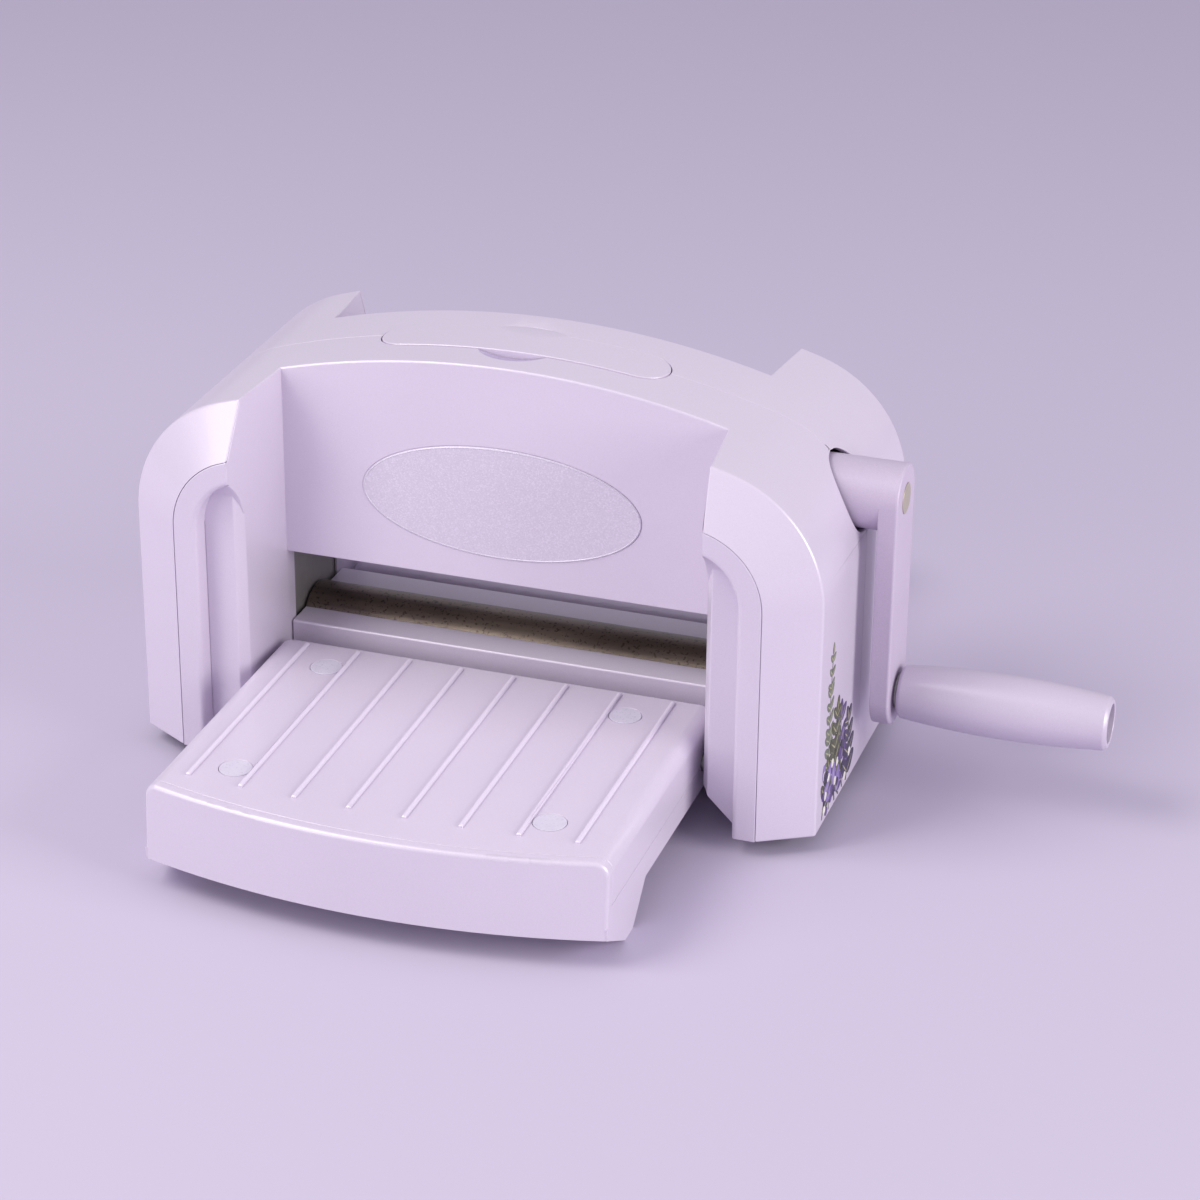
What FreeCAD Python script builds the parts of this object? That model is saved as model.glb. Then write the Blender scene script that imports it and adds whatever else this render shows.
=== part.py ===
import FreeCAD
import Part
import math
import os

# Axes: X to the crank side, Y to the rear, Z up from the table, in millimetres.
X_AXIS = FreeCAD.Vector(1, 0, 0)
Y_AXIS = FreeCAD.Vector(0, 1, 0)
Z_AXIS = FreeCAD.Vector(0, 0, 1)
CENTRE = FreeCAD.Vector(0, 0, 0)

# Housing arch, seen from the front
HALF_W = 122.5
BASE_Z = 6.0
CROWN_RISE = 38.0
CROWN_R = 307.0
CORNER_R = 45.4
SHELL_T = 2.8

# Housing depth
FRONT_Y = 65.0
BEVEL_Y = 10.5
BEVEL_W = 18.0

# Fascia
COLUMN_W = 42.5
PANEL_Y = 25.2
PANEL_DROP = 6.0
FASCIA_T = 2.5
FLARE = 2.6
FLARE_SETBACK = 11.6
BAND_W = 8.5
BAND_ROUND = 1.6
ROUND_STEPS = 3
SCOOP_SETBACK = 7.5
SCOOP_STEP = 2.6
SCOOP_H = 16.7
UNDER_H = 12.0
TONGUE_T = 0.9
TONGUE_L = 6.1
FLANGE_W = 6.2
SEAM = 0.15
LIP = 1.0

# Oval plate on the front panel
BADGE_HALF_W = 50.5
BADGE_HALF_H = 20.5
BADGE_DROP = 50.1
BADGE_T = 1.0
BADGE_SEAT = 0.7

# Base, feet and base screws
BASE_T = 2.0
BASE_GAP = 0.3
BRIDGE_OUT = 4.8
FOOT_R = 8.0
FOOT_INSET_X = 14.5
FOOT_INSET_Y = 25.0
FOOT_PEG_R = 3.0
POST_INSET = 9.5
POST_Y = 24.0
POST_R = 4.5
POST_H = 28.0
WEB_T = 3.0
SCREW_R = 1.5
SCREW_HOLE_R = 1.7
SCREW_L = 14.0
SCREW_HEAD_R = 3.2
SCREW_HEAD_T = 1.0
SCREW_SEAT_R = 3.5
SCREW_SEAT_H = 1.2
GEAR_SLOT_GAP = 1.2

# Steel side plates
PLATE_GAP = 1.0
PLATE_T = 4.0
PLATE_SETBACK = 0.7
PLATE_RISE = 14.4
PLATE_CORNER_R = 9.0
PLATE_FOOT_W = 20.0

# Rollers and gears
ROLLER_R = 14.0
ROLLER_END_GAP = 0.8
JOURNAL_R = 7.0
JOURNAL_OUT = 1.5
LOWER_OUT = 3.0
RUN_GAP = 0.05
TIMING_MODULE = 1.25
TIMING_TEETH = 35
DRIVE_MODULE = 1.5
DRIVE_TEETH = 36
PINION_TEETH = 12
ADDENDUM = 0.75
DEDENDUM = 1.0
PRESSURE_DEG = 20.0
BACKLASH = 0.25
FLANK_STEPS = 5
GEAR_FLOOR_GAP = 1.0375
GEAR_GAP = 0.5
GEAR_W = 10.0
WEB_W = 4.0
GEAR_HUB_R = 12.0
GEAR_RIM = 5.0
LIGHT_HOLES = 6
LIGHT_HOLE_R = 3.2
BUSH_WALL = 2.5
BUSH_FLANGE_T = 1.5
BUSH_FLANGE_R = 2.0

# Gear plate, stand-offs and tie rods
GEAR_PLATE_GAP = 1.0
GEAR_PLATE_T = 3.0
GEAR_PLATE_DROP = 42.6
GEAR_PLATE_RISE = 11.4
STANDOFF_R = 4.0
STANDOFF_INSET = 1.2
STANDOFF_RISE = 5.9
STANDOFF_DROP = 36.1
TIE_R = 4.5
TIE_END_R = 3.0
TIE_GAP = 1.6
TIE_DROP = 11.6
NUT_FLATS = 10.0
NUT_SIDES = 6
NUT_T = 2.8
TIE_END_OUT = 0.2

# Sills of the feed slot
SILL_GAP = 1.9
SILL_END_GAP = 0.4
SILL_T = 2.4
SILL_DROP = 4.2
SILL_NOSE_R = 0.8
SILL_ROLLER_GAP = 0.9
SILL_FOOT_W = 6.0

# Crank
SHAFT_R = 6.0
SHAFT_END_GAP = 0.4
SHAFT_GRIP = 3.2
HUB_R = 12.0
HUB_SIDE_GAP = 2.0
HUB_GAP = 1.4
ARM_GAP = 6.3
ARM_T = 6.7
ARM_R = 12.0
ARM_L = 72.4
ARM_ROUND = 1.0
CAP_R = 5.3
CAP_T = 1.2
CAP_PROUD = 0.2

# Crank grip and its spindle
GRIP_GAP = 1.5
GRIP_L = 73.0
GRIP_END_R = 9.3
GRIP_MID_R = 11.2
GRIP_ROUND = 1.2
GRIP_CUP_R = 6.8
GRIP_CUP_L = 5.0
SPINDLE_R = 3.0
SPINDLE_IN = 4.0
SPINDLE_COLLAR_R = 6.0
SPINDLE_COLLAR_T = 1.1
SPINDLE_HEAD_R = 5.2
SPINDLE_HEAD_T = 2.2
SIDE_GAP = 0.4

# Carry handle, its thumb tab and the dishes in front of and behind it
BAR_HALF_L = 51.8
BAR_HALF_W = 9.9
BAR_T = 16.1
BAR_PROUD = 0.3
BAR_GAP = 0.4
BAR_ROUND = 0.4
TAB_R = 17.6
TAB_OUT = 5.3
TAB_T = 7.0
TAB_ROLL_R = 66.0
TAB_ROLL_W = 11.2
DISH_X = -1.2
FRONT_DISH_R = 15.2
FRONT_DISH_OUT = 8.0
FRONT_DISH_RISE = 36.0
REAR_DISH_R = 16.7
REAR_DISH_OUT = 9.7
REAR_DISH_RISE = 77.0
WELL_WALL = 5.5
WELL_GAP = 1.7
WELL_DEPTH = 2.5
WELL_FLOOR_T = 3.0
BOSS_R = 7.0
LEG_INSET = 13.8
LEG_R = 4.0
LEG_L = 37.5
STOP_R = 6.0
STOP_T = 3.0

# Folding trays
TRAY_GAP = 5.0
TRAY_SIDE_GAP = 0.15
TRAY_L = 117.8
TRAY_BOW = 11.3
TRAY_LEAN = 1.9
TRAY_DROP = 1.95
TRAY_H = 25.4
TRAY_T = 2.2
DECK_T = 2.5
DECK_H = 16.7
FRONT_H = 27.2
FRONT_T = 3.6
FRONT_SEAM = 0.35
SIDE_ROUND = 5.0
INNER_ROUND = 5.0
FRONT_ROUND = 1.6
TRAY_FOOT_W = 14.0
TRAY_FOOT_SETBACK = 19.0
TRAY_FOOT_L = 8.0
TRAY_FOOT_RAMP = 13.0
RIB_COUNT = 8
RIB_EDGE = 12.5
RIB_W = 1.6
RIB_H = 1.0
RIB_FLAT = 0.4
RIB_IN = 5.8
RIB_OUT = 12.0
RIB_BOW = 4.6
PATTERN_X = -1.1
PAD_R = 5.6
PAD_GAP = 0.15
PAD_T = 1.3
PAD_PROUD = 0.1
PAD_EDGE = 25.25
PAD_IN = 19.6
PAD_OUT = 20.7

# Tray hinge
HINGE_IN = 13.8
HINGE_DROP = 15.7
PIN_R = 3.0
PIN_L = 23.0
PIN_OUT = 7.0
PIN_HOLE_R = 3.6
HINGE_BOSS_R = 7.0
HINGE_BOSS_W = 11.0
HINGE_BOSS_GAP = 0.2

# Places that follow from the sizes above
SMALL = 1.0
TIMING_R = TIMING_MODULE * TIMING_TEETH / 2
TIMING_TIP_R = TIMING_R + ADDENDUM * TIMING_MODULE
FLOOR_Z = BASE_Z + BASE_T
LOWER_Z = BASE_Z + GEAR_FLOOR_GAP + TIMING_TIP_R
UPPER_Z = LOWER_Z + 2 * TIMING_R
CRANK_Z = UPPER_Z + DRIVE_MODULE * (DRIVE_TEETH + PINION_TEETH) / 2
CROWN_Z = CRANK_Z + CROWN_RISE
REACH = CROWN_Z + FRONT_Y
CORNER_X = HALF_W - CORNER_R
CROWN_CENTRE_Z = CROWN_Z - CROWN_R
CORNER_Z = CROWN_CENTRE_Z + math.sqrt((CROWN_R - CORNER_R) ** 2 - CORNER_X ** 2)
RING_Y = FRONT_Y - BEVEL_Y
PANEL_X = HALF_W - COLUMN_W
PANEL_LOW_Z = UPPER_Z - PANEL_DROP
PANEL_IN_Y = PANEL_Y - FASCIA_T
FLARE_X = PANEL_X + FLARE
FLARE_Y = FRONT_Y - FLARE_SETBACK
BAND_X = HALF_W - BEVEL_W - BAND_W
SCOOP_X = FLARE_X + SCOOP_STEP
SCOOP_Y = FRONT_Y - SCOOP_SETBACK
SCOOP_TOP_Z = CORNER_Z + math.sqrt((CORNER_R - BEVEL_W - BAND_W) ** 2 - (FLARE_X - CORNER_X) ** 2)
UNDER_Z = BASE_Z + UNDER_H
BADGE_Z = CROWN_Z - BADGE_DROP
FOOT_X = HALF_W - FOOT_INSET_X
FOOT_Y = FRONT_Y - FOOT_INSET_Y
POST_X = HALF_W - POST_INSET
PLATE_X = PANEL_X + PLATE_GAP
PLATE_OUT_X = PLATE_X + PLATE_T
PLATE_HALF_Y = PANEL_IN_Y - PLATE_SETBACK
PLATE_TOP_Z = CRANK_Z + PLATE_RISE
TIE_Y = PANEL_IN_Y - TIE_GAP - TIE_R
TIE_Z = CRANK_Z - TIE_DROP
TIE_END_X = PLATE_OUT_X + NUT_T + TIE_END_OUT
GEAR_X = TIE_END_X + GEAR_GAP
JOURNAL_END_X = GEAR_X + GEAR_W + JOURNAL_OUT
LOWER_END_X = PLATE_OUT_X + LOWER_OUT
GEAR_PLATE_X = JOURNAL_END_X + GEAR_PLATE_GAP
GEAR_PLATE_END_X = GEAR_PLATE_X + GEAR_PLATE_T
STANDOFF_Y = PLATE_HALF_Y - STANDOFF_R - STANDOFF_INSET
SILL_Y = PANEL_Y - SILL_GAP
SILL_HALF_X = PANEL_X - SILL_END_GAP
SILL_TOP_Z = LOWER_Z + ROLLER_R - SILL_DROP
SILL_LOW_Z = SILL_TOP_Z - SILL_T
SILL_CLEAR_R = ROLLER_R + SILL_ROLLER_GAP
SILL_TOP_Y = math.sqrt(SILL_CLEAR_R ** 2 - (SILL_TOP_Z - LOWER_Z) ** 2)
SILL_LOW_Y = math.sqrt(SILL_CLEAR_R ** 2 - (SILL_LOW_Z - LOWER_Z) ** 2)
HUB_IN_X = GEAR_PLATE_END_X + HUB_SIDE_GAP
ARM_X = HALF_W + ARM_GAP
ARM_OUT_X = ARM_X + ARM_T
SHAFT_IN_X = PLATE_X - SHAFT_END_GAP
SHAFT_OUT_X = ARM_X + SHAFT_GRIP
GRIP_Z = CRANK_Z - ARM_L
GRIP_X = ARM_OUT_X + GRIP_GAP
GRIP_OUT_X = GRIP_X + GRIP_L
BAR_LOW_Z = CROWN_Z - BAR_T
TAB_Y = BAR_HALF_W + TAB_OUT - TAB_R
FRONT_DISH_Y = BAR_HALF_W + FRONT_DISH_OUT - FRONT_DISH_R
REAR_DISH_Y = BAR_HALF_W + REAR_DISH_OUT - REAR_DISH_R
WELL_HALF_X = BAR_HALF_L + WELL_WALL
WELL_HALF_Y = PANEL_IN_Y - WELL_GAP
WELL_FLOOR_Z = BAR_LOW_Z - WELL_DEPTH
LEG_X = BAR_HALF_L - LEG_INSET
LEG_LOW_Z = BAR_LOW_Z - LEG_L
TRAY_HALF_W = PANEL_X - TRAY_SIDE_GAP
TRAY_IN_Y = PANEL_Y + TRAY_GAP
TRAY_OUT_Y = TRAY_IN_Y + TRAY_L
TRAY_TOP_Z = SILL_TOP_Z - TRAY_DROP
TRAY_LOW_Z = TRAY_TOP_Z - TRAY_H
DECK_SPLIT_Z = TRAY_TOP_Z - DECK_H
FRONT_LOW_Z = TRAY_TOP_Z - FRONT_H
TRAY_FOOT_Y = TRAY_OUT_Y - TRAY_FOOT_SETBACK
RIB_IN_Y = TRAY_IN_Y + RIB_IN
RIB_OUT_Y = TRAY_OUT_Y - RIB_OUT
RIB_PITCH = 2 * (TRAY_HALF_W - RIB_EDGE) / (RIB_COUNT - 1)
RIB_ROUND = (RIB_W - RIB_FLAT) / 2
PAD_X = TRAY_HALF_W - PAD_EDGE
PAD_IN_Y = TRAY_IN_Y + PAD_IN
PAD_OUT_Y = TRAY_OUT_Y - PAD_OUT
PAD_SEAT_Z = TRAY_TOP_Z + PAD_PROUD - PAD_T
HINGE_Y = TRAY_IN_Y + HINGE_IN
HINGE_Z = TRAY_TOP_Z - HINGE_DROP
PIN_OUT_X = PANEL_X + PIN_OUT
PIN_IN_X = PIN_OUT_X - PIN_L
HINGE_BOSS_OUT_X = TRAY_HALF_W - TRAY_T - HINGE_BOSS_GAP
HINGE_BOSS_X = HINGE_BOSS_OUT_X - HINGE_BOSS_W
SHIFT = FreeCAD.Vector((HALF_W - GRIP_OUT_X) / 2, 0, 0)


def vec(x, y, z):
    return FreeCAD.Vector(x, y, z)


def prism(points, direction):
    wire = Part.makePolygon(points + points[:1])
    return Part.Face(wire).extrude(direction)


def plan_prism(points, z0, z1):
    return prism([vec(x, y, z0) for x, y in points], vec(0, 0, z1 - z0))


def front_prism(points, y0, y1):
    return prism([vec(x, y0, z) for x, z in points], vec(0, y1 - y0, 0))


def side_prism(points, x0, x1):
    return prism([vec(x0, y, z) for y, z in points], vec(x1 - x0, 0, 0))


def box(x0, x1, y0, y1, z0, z1):
    return Part.makeBox(x1 - x0, y1 - y0, z1 - z0, vec(x0, y0, z0))


def rod_x(radius, x0, x1, y, z):
    return Part.makeCylinder(radius, x1 - x0, vec(x0, y, z), X_AXIS)


def rod_z(radius, z0, z1, x, y):
    return Part.makeCylinder(radius, z1 - z0, vec(x, y, z0), Z_AXIS)


def mirror_x(shape):
    return shape.mirror(CENTRE, X_AXIS)


def mirror_y(shape):
    return shape.mirror(CENTRE, Y_AXIS)


def both_sides(shape):
    return [shape, mirror_x(shape)]


def union(shapes):
    return shapes[0].multiFuse(shapes[1:]).removeSplitter()


def group(shapes):
    return Part.makeCompound(shapes)


def polar(radius, angle):
    return radius * math.cos(angle), radius * math.sin(angle)


def grow(points, distance):
    """Offset the sides of a polygon outward, for points listed anticlockwise."""
    lines = []
    for (ax, ay), (bx, by) in zip(points, points[1:] + points[:1]):
        length = math.hypot(bx - ax, by - ay)
        nx = (by - ay) / length
        ny = (ax - bx) / length
        lines.append((nx, ny, nx * ax + ny * ay + distance))
    corners = []
    for (a, b, c), (d, e, f) in zip(lines[-1:] + lines[:-1], lines):
        det = a * e - b * d
        corners.append(((c * e - b * f) / det, (a * f - c * d) / det))
    return corners


# Housing arch


def arch_wire(offset, y):
    """The arch moved inward by offset: base line, straight sides, corner arcs, crown arc."""
    side = HALF_W - offset
    corner = CORNER_R - offset
    crown = CROWN_R - offset
    lean = math.asin(CORNER_X / (CROWN_R - CORNER_R))
    joint_x = crown * math.sin(lean)
    joint_z = CROWN_CENTRE_Z + crown * math.cos(lean)
    mid = (math.pi / 2 - lean) / 2
    mid_x = CORNER_X + corner * math.cos(mid)
    mid_z = CORNER_Z + corner * math.sin(mid)
    top_z = CROWN_CENTRE_Z + crown
    right_low = vec(side, y, BASE_Z)
    right_high = vec(side, y, CORNER_Z)
    right_joint = vec(joint_x, y, joint_z)
    left_joint = vec(-joint_x, y, joint_z)
    left_high = vec(-side, y, CORNER_Z)
    left_low = vec(-side, y, BASE_Z)
    edges = [
        Part.makeLine(left_low, right_low),
        Part.makeLine(right_low, right_high),
        Part.Arc(right_high, vec(mid_x, y, mid_z), right_joint).toShape(),
        Part.Arc(right_joint, vec(0, y, top_z), left_joint).toShape(),
        Part.Arc(left_joint, vec(-mid_x, y, mid_z), left_high).toShape(),
        Part.makeLine(left_high, left_low),
    ]
    return Part.Wire(edges)


def arch_prism(offset, y0, y1):
    return Part.Face(arch_wire(offset, y0)).extrude(vec(0, y1 - y0, 0))


def arch_loft(offset0, y0, offset1, y1):
    return Part.makeLoft([arch_wire(offset0, y0), arch_wire(offset1, y1)], True, True)


# Space in front of the fascia, used for the fascia and the shell


def wall_x(y):
    return PANEL_X + (y - PANEL_Y) * (FLARE_X - PANEL_X) / (FLARE_Y - PANEL_Y)


def bay(extra):
    """The recess between the columns, grown by extra on its walls and back."""
    out_y = FRONT_Y + SMALL
    out_x = wall_x(out_y)
    plan = [(-out_x, -out_y), (out_x, -out_y), (PANEL_X, -PANEL_Y), (-PANEL_X, -PANEL_Y)]
    return plan_prism(grow(plan, extra), BASE_Z - SMALL, REACH)


def scoop_face(shift):
    """Side view of a finger scoop: flat below, curving out to the band above."""
    low_z = BASE_Z - SMALL - shift
    bend_z = SCOOP_TOP_Z - SCOOP_H + shift
    mouth_z = SCOOP_TOP_Z + shift
    back_y = -FLARE_Y + shift
    front_y = -FRONT_Y - SMALL - shift
    bend = vec(0, back_y, bend_z)
    mouth = vec(0, -FRONT_Y + shift, mouth_z)
    mid = vec(0, -SCOOP_Y + shift, (bend_z + mouth_z) / 2 + SMALL)
    foot = vec(0, back_y, low_z)
    near = vec(0, front_y, low_z)
    high = vec(0, front_y, mouth_z)
    edges = [
        Part.makeLine(near, foot),
        Part.makeLine(foot, bend),
        Part.Arc(bend, mid, mouth).toShape(),
        Part.makeLine(mouth, high),
        Part.makeLine(high, near),
    ]
    return Part.Face(Part.Wire(edges))


def scoop(extra):
    """The finger scoop of the right column, grown by extra."""
    in_x = PANEL_X - FLANGE_W
    out_y = FRONT_Y + SMALL
    plan = [
        (in_x, -out_y),
        (BAND_X, -out_y),
        (BAND_X, -SCOOP_Y),
        (SCOOP_X, -SCOOP_Y),
        (FLARE_X, -FLARE_Y),
        (in_x, -FLARE_Y),
    ]
    from_top = plan_prism(grow(plan, extra), BASE_Z - SMALL, REACH)
    from_front = arch_prism(BEVEL_W + BAND_W - extra, -out_y - extra, 0)
    from_side = scoop_face(extra).extrude(vec(REACH, 0, 0))
    return from_top.common(from_front).common(from_side)


def undercut(extra):
    """The sloping underside of the right column, grown by extra."""
    low = BASE_Z - SMALL
    in_x = PANEL_X - FLANGE_W
    outline = [(in_x, low), (BAND_X + SMALL, low), (BAND_X - UNDER_H, UNDER_Z), (in_x, UNDER_Z)]
    return front_prism(grow(outline, extra), -FRONT_Y - SMALL, -PANEL_Y + extra)


def front_space(extra):
    parts = [bay(extra)]
    parts += both_sides(scoop(extra))
    parts += both_sides(undercut(extra))
    return union(parts)


def scoop_groove():
    """Hairline at the outer inside corner of a finger scoop."""
    return box(BAND_X - SEAM, BAND_X + SEAM, -SCOOP_Y - SEAM, -SCOOP_Y + SEAM, BASE_Z, CORNER_Z)


# Housing mouldings


def arch_body(inset, end_y):
    """The arch with its bevelled front, moved inward by inset, up to end_y."""
    run = math.hypot(BEVEL_W, FRONT_Y - RING_Y)
    across = (FRONT_Y - RING_Y) / run
    along = BEVEL_W / run
    turn_y = RING_Y - inset * (1 - across) / along
    end_offset = inset + (end_y - turn_y) * BEVEL_W / (FRONT_Y - RING_Y)
    column = arch_prism(inset, 0, -turn_y)
    return column.fuse(arch_loft(inset, -turn_y, end_offset, -end_y)).removeSplitter()


def ring():
    """Arch shell with its bevelled front, of even thickness."""
    inner = arch_body(SHELL_T, FRONT_Y + SMALL)
    low_inner = inner.fuse(inner.translated(vec(0, 0, -SMALL)))
    return arch_body(0, FRONT_Y).cut(low_inner)


def bar_outline(extra, z0, z1):
    """Pill-shaped outline of the carry handle, grown by extra."""
    straight = BAR_HALF_L - BAR_HALF_W
    half_w = BAR_HALF_W + extra
    parts = [box(-straight, straight, -half_w, half_w, z0, z1)]
    parts += [rod_z(half_w, z0, z1, x, 0) for x in (-straight, straight)]
    return union(parts)


def thumb_tab(extra, z1):
    """Half-moon tab behind the carry handle, grown by extra."""
    low = CROWN_Z - TAB_T - extra
    moon = rod_z(TAB_R + extra, low, z1, DISH_X, TAB_Y)
    return moon.common(box(-REACH, REACH, 0, REACH, low, z1))


def tab_roll():
    """Space above the tab, whose top rolls down to the rear."""
    start = BAR_HALF_W + TAB_OUT - TAB_ROLL_W
    top = CROWN_Z + BAR_PROUD
    roll = rod_x(TAB_ROLL_R, DISH_X - TAB_R, DISH_X + TAB_R, start, top - TAB_ROLL_R)
    return box(DISH_X - TAB_R, DISH_X + TAB_R, start, REACH, top - TAB_T, REACH).cut(roll)


def dish(radius, y, rise):
    """Ball that cuts a shallow finger dish into the crown."""
    return Part.makeSphere(math.hypot(radius, rise), vec(DISH_X, y, CROWN_Z + rise))


def cut_handle(shape):
    """Cut the opening for the carry handle, with its finger dishes."""
    cutters = [
        bar_outline(BAR_GAP, WELL_FLOOR_Z, REACH),
        thumb_tab(BAR_GAP, REACH),
        dish(FRONT_DISH_R, -FRONT_DISH_Y, FRONT_DISH_RISE),
        dish(REAR_DISH_R, REAR_DISH_Y, REAR_DISH_RISE),
    ]
    for cutter in cutters:
        shape = shape.cut(cutter)
    return shape


def screw_post():
    top = FLOOR_Z + POST_H
    post = rod_z(POST_R, FLOOR_Z, top, POST_X, -POST_Y)
    wall = HALF_W - SHELL_T / 2
    web = box(POST_X, wall, -POST_Y - WEB_T / 2, -POST_Y + WEB_T / 2, FLOOR_Z, top)
    hole = rod_z(SCREW_R, FLOOR_Z, FLOOR_Z + SCREW_L, POST_X, -POST_Y)
    return post.fuse(web).cut(hole)


def half_shell():
    """Front half of the housing, before the handle opening is cut."""
    seat = arch_body(LIP, FRONT_Y).common(front_space(FASCIA_T + SEAM))
    band = arch_prism(BEVEL_W, -FRONT_Y - SMALL, -FRONT_Y + FASCIA_T * 2 + SEAM)
    shell = ring().cut(seat).cut(bay(0)).cut(band)
    shell = shell.cut(rod_x(HUB_R + HUB_GAP, PLATE_X, HALF_W + SMALL, 0, CRANK_Z))
    return shell.multiFuse(both_sides(screw_post()))


def band_round():
    """Space outside the rounded inner edge of the front bands."""
    inner = BEVEL_W + BAND_W
    wires = []
    for k in range(ROUND_STEPS + 1):
        turn = math.pi / 2 * k / ROUND_STEPS
        offset = inner - BAND_ROUND * (1 - math.sin(turn))
        wires.append(arch_wire(offset, -FRONT_Y + BAND_ROUND * (1 - math.cos(turn))))
    return Part.makeLoft(wires, True, True).cut(arch_prism(inner, -FRONT_Y, -FLARE_Y))


def fascia():
    space = front_space(0)
    skin = front_space(FASCIA_T).cut(space)
    column = arch_prism(BEVEL_W + SEAM, -FRONT_Y, -FLARE_Y)
    walls = skin.common(arch_body(LIP, FRONT_Y).fuse(column))
    hollow = arch_prism(BEVEL_W + SEAM + FASCIA_T, -FRONT_Y + FASCIA_T, 0)
    hollow = hollow.fuse(hollow.translated(vec(0, 0, -SMALL)))
    band = arch_prism(BEVEL_W + SEAM, -FRONT_Y, -FRONT_Y + FASCIA_T * 2).cut(hollow).cut(space)
    slot = box(-PANEL_X, PANEL_X, -PANEL_Y - SMALL, 0, 0, PANEL_LOW_Z)
    flange_z = PANEL_LOW_Z + FASCIA_T
    flange = box(-PANEL_X, PANEL_X, -PANEL_Y, -PANEL_Y + FLANGE_W, PANEL_LOW_Z, flange_z)
    tongue_x = PANEL_X + TONGUE_T
    tongue = box(PANEL_X, tongue_x, -PANEL_Y, -PANEL_Y + TONGUE_L, UNDER_Z, flange_z)
    shape = union([walls.cut(slot), band, flange] + both_sides(tongue))
    cutters = both_sides(rod_x(PIN_R, PANEL_X - SMALL, PIN_OUT_X, -HINGE_Y, HINGE_Z))
    for cutter in cutters + both_sides(scoop_groove()) + [band_round()]:
        shape = shape.cut(cutter)
    return shape


def oval(y0, y1):
    curve = Part.Ellipse(CENTRE, BADGE_HALF_W, BADGE_HALF_H).toShape()
    curve.rotate(CENTRE, X_AXIS, 90)
    curve.translate(vec(0, y0, BADGE_Z))
    return Part.Face(Part.Wire(curve)).extrude(vec(0, y1 - y0, 0))


def badge_plate():
    back = -PANEL_Y + BADGE_SEAT
    return oval(back - BADGE_T, back)


def front_fascia():
    return fascia().cut(oval(-PANEL_Y - SMALL, -PANEL_Y + BADGE_SEAT))


def handle_well():
    low = WELL_FLOOR_Z - WELL_FLOOR_T
    block = box(-WELL_HALF_X, WELL_HALF_X, -WELL_HALF_Y, WELL_HALF_Y, low, REACH)
    block = block.common(arch_prism(SHELL_T, -WELL_HALF_Y, WELL_HALF_Y))
    block = cut_handle(block)
    for x in (-LEG_X, LEG_X):
        block = block.fuse(rod_z(BOSS_R, low, BAR_LOW_Z - SIDE_GAP, x, 0))
        block = block.cut(rod_z(LEG_R + RUN_GAP, low, BAR_LOW_Z, x, 0))
    return block


# Base


def foot_places():
    return [(x, y) for x in (-FOOT_X, FOOT_X) for y in (-FOOT_Y, FOOT_Y)]


def post_places():
    return [(x, y) for x in (-POST_X, POST_X) for y in (-POST_Y, POST_Y)]


def base_plate():
    """Floor inside the housing: two column floors, the necks and the bridge between them."""
    in_x = BAND_X + math.sqrt(2) * FASCIA_T + BASE_GAP
    out_y = FRONT_Y - 2 * FASCIA_T - BASE_GAP
    neck_y = PANEL_IN_Y - BASE_GAP
    bridge_y = PANEL_Y + BRIDGE_OUT
    half = [(0, -FRONT_Y), (HALF_W - BEVEL_W, -FRONT_Y), (HALF_W, -RING_Y)]
    outline = half + [(x, -y) for x, y in reversed(half)]
    column = plan_prism(grow(outline, -SHELL_T - BASE_GAP), BASE_Z, FLOOR_Z)
    column = column.common(box(in_x, HALF_W, -out_y, out_y, BASE_Z, FLOOR_Z))
    neck = box(-in_x - SMALL, in_x + SMALL, -neck_y, neck_y, BASE_Z, FLOOR_Z)
    bridge = box(-SILL_HALF_X, SILL_HALF_X, -bridge_y, bridge_y, BASE_Z, FLOOR_Z)
    shape = union(both_sides(column) + [neck, bridge]).cut(gear_slot())
    for x, y in foot_places():
        shape = shape.cut(rod_z(FOOT_PEG_R, BASE_Z, FLOOR_Z, x, y))
    for x, y in post_places():
        shape = shape.cut(rod_z(SCREW_HOLE_R, BASE_Z, FLOOR_Z, x, y))
        shape = shape.cut(rod_z(SCREW_SEAT_R, BASE_Z, BASE_Z + SCREW_SEAT_H, x, y))
    return shape


def gear_slot():
    """Opening in the floor under the lower timing gear."""
    half_y = math.sqrt(TIMING_TIP_R ** 2 - (LOWER_Z - FLOOR_Z) ** 2) + GEAR_SLOT_GAP
    x0 = -GEAR_X - GEAR_W - GEAR_SLOT_GAP
    return box(x0, -GEAR_X + GEAR_SLOT_GAP, -half_y, half_y, BASE_Z, FLOOR_Z)


def rubber_feet():
    feet = []
    for x, y in foot_places():
        pad = rod_z(FOOT_R, 0, BASE_Z, x, y)
        pad = pad.makeChamfer(SMALL / 2, [edge for edge in pad.Edges if edge.BoundBox.ZMax < SMALL])
        feet.append(pad.fuse(rod_z(FOOT_PEG_R, BASE_Z, FLOOR_Z, x, y)).removeSplitter())
    return group(feet)


def base_screws():
    seat = BASE_Z + SCREW_SEAT_H
    screws = []
    for x, y in post_places():
        head = rod_z(SCREW_HEAD_R, seat - SCREW_HEAD_T, seat, x, y)
        shank = rod_z(SCREW_R, seat, FLOOR_Z + SCREW_L, x, y)
        screws.append(head.fuse(shank).removeSplitter())
    return group(screws)


# Steel frame


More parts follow.
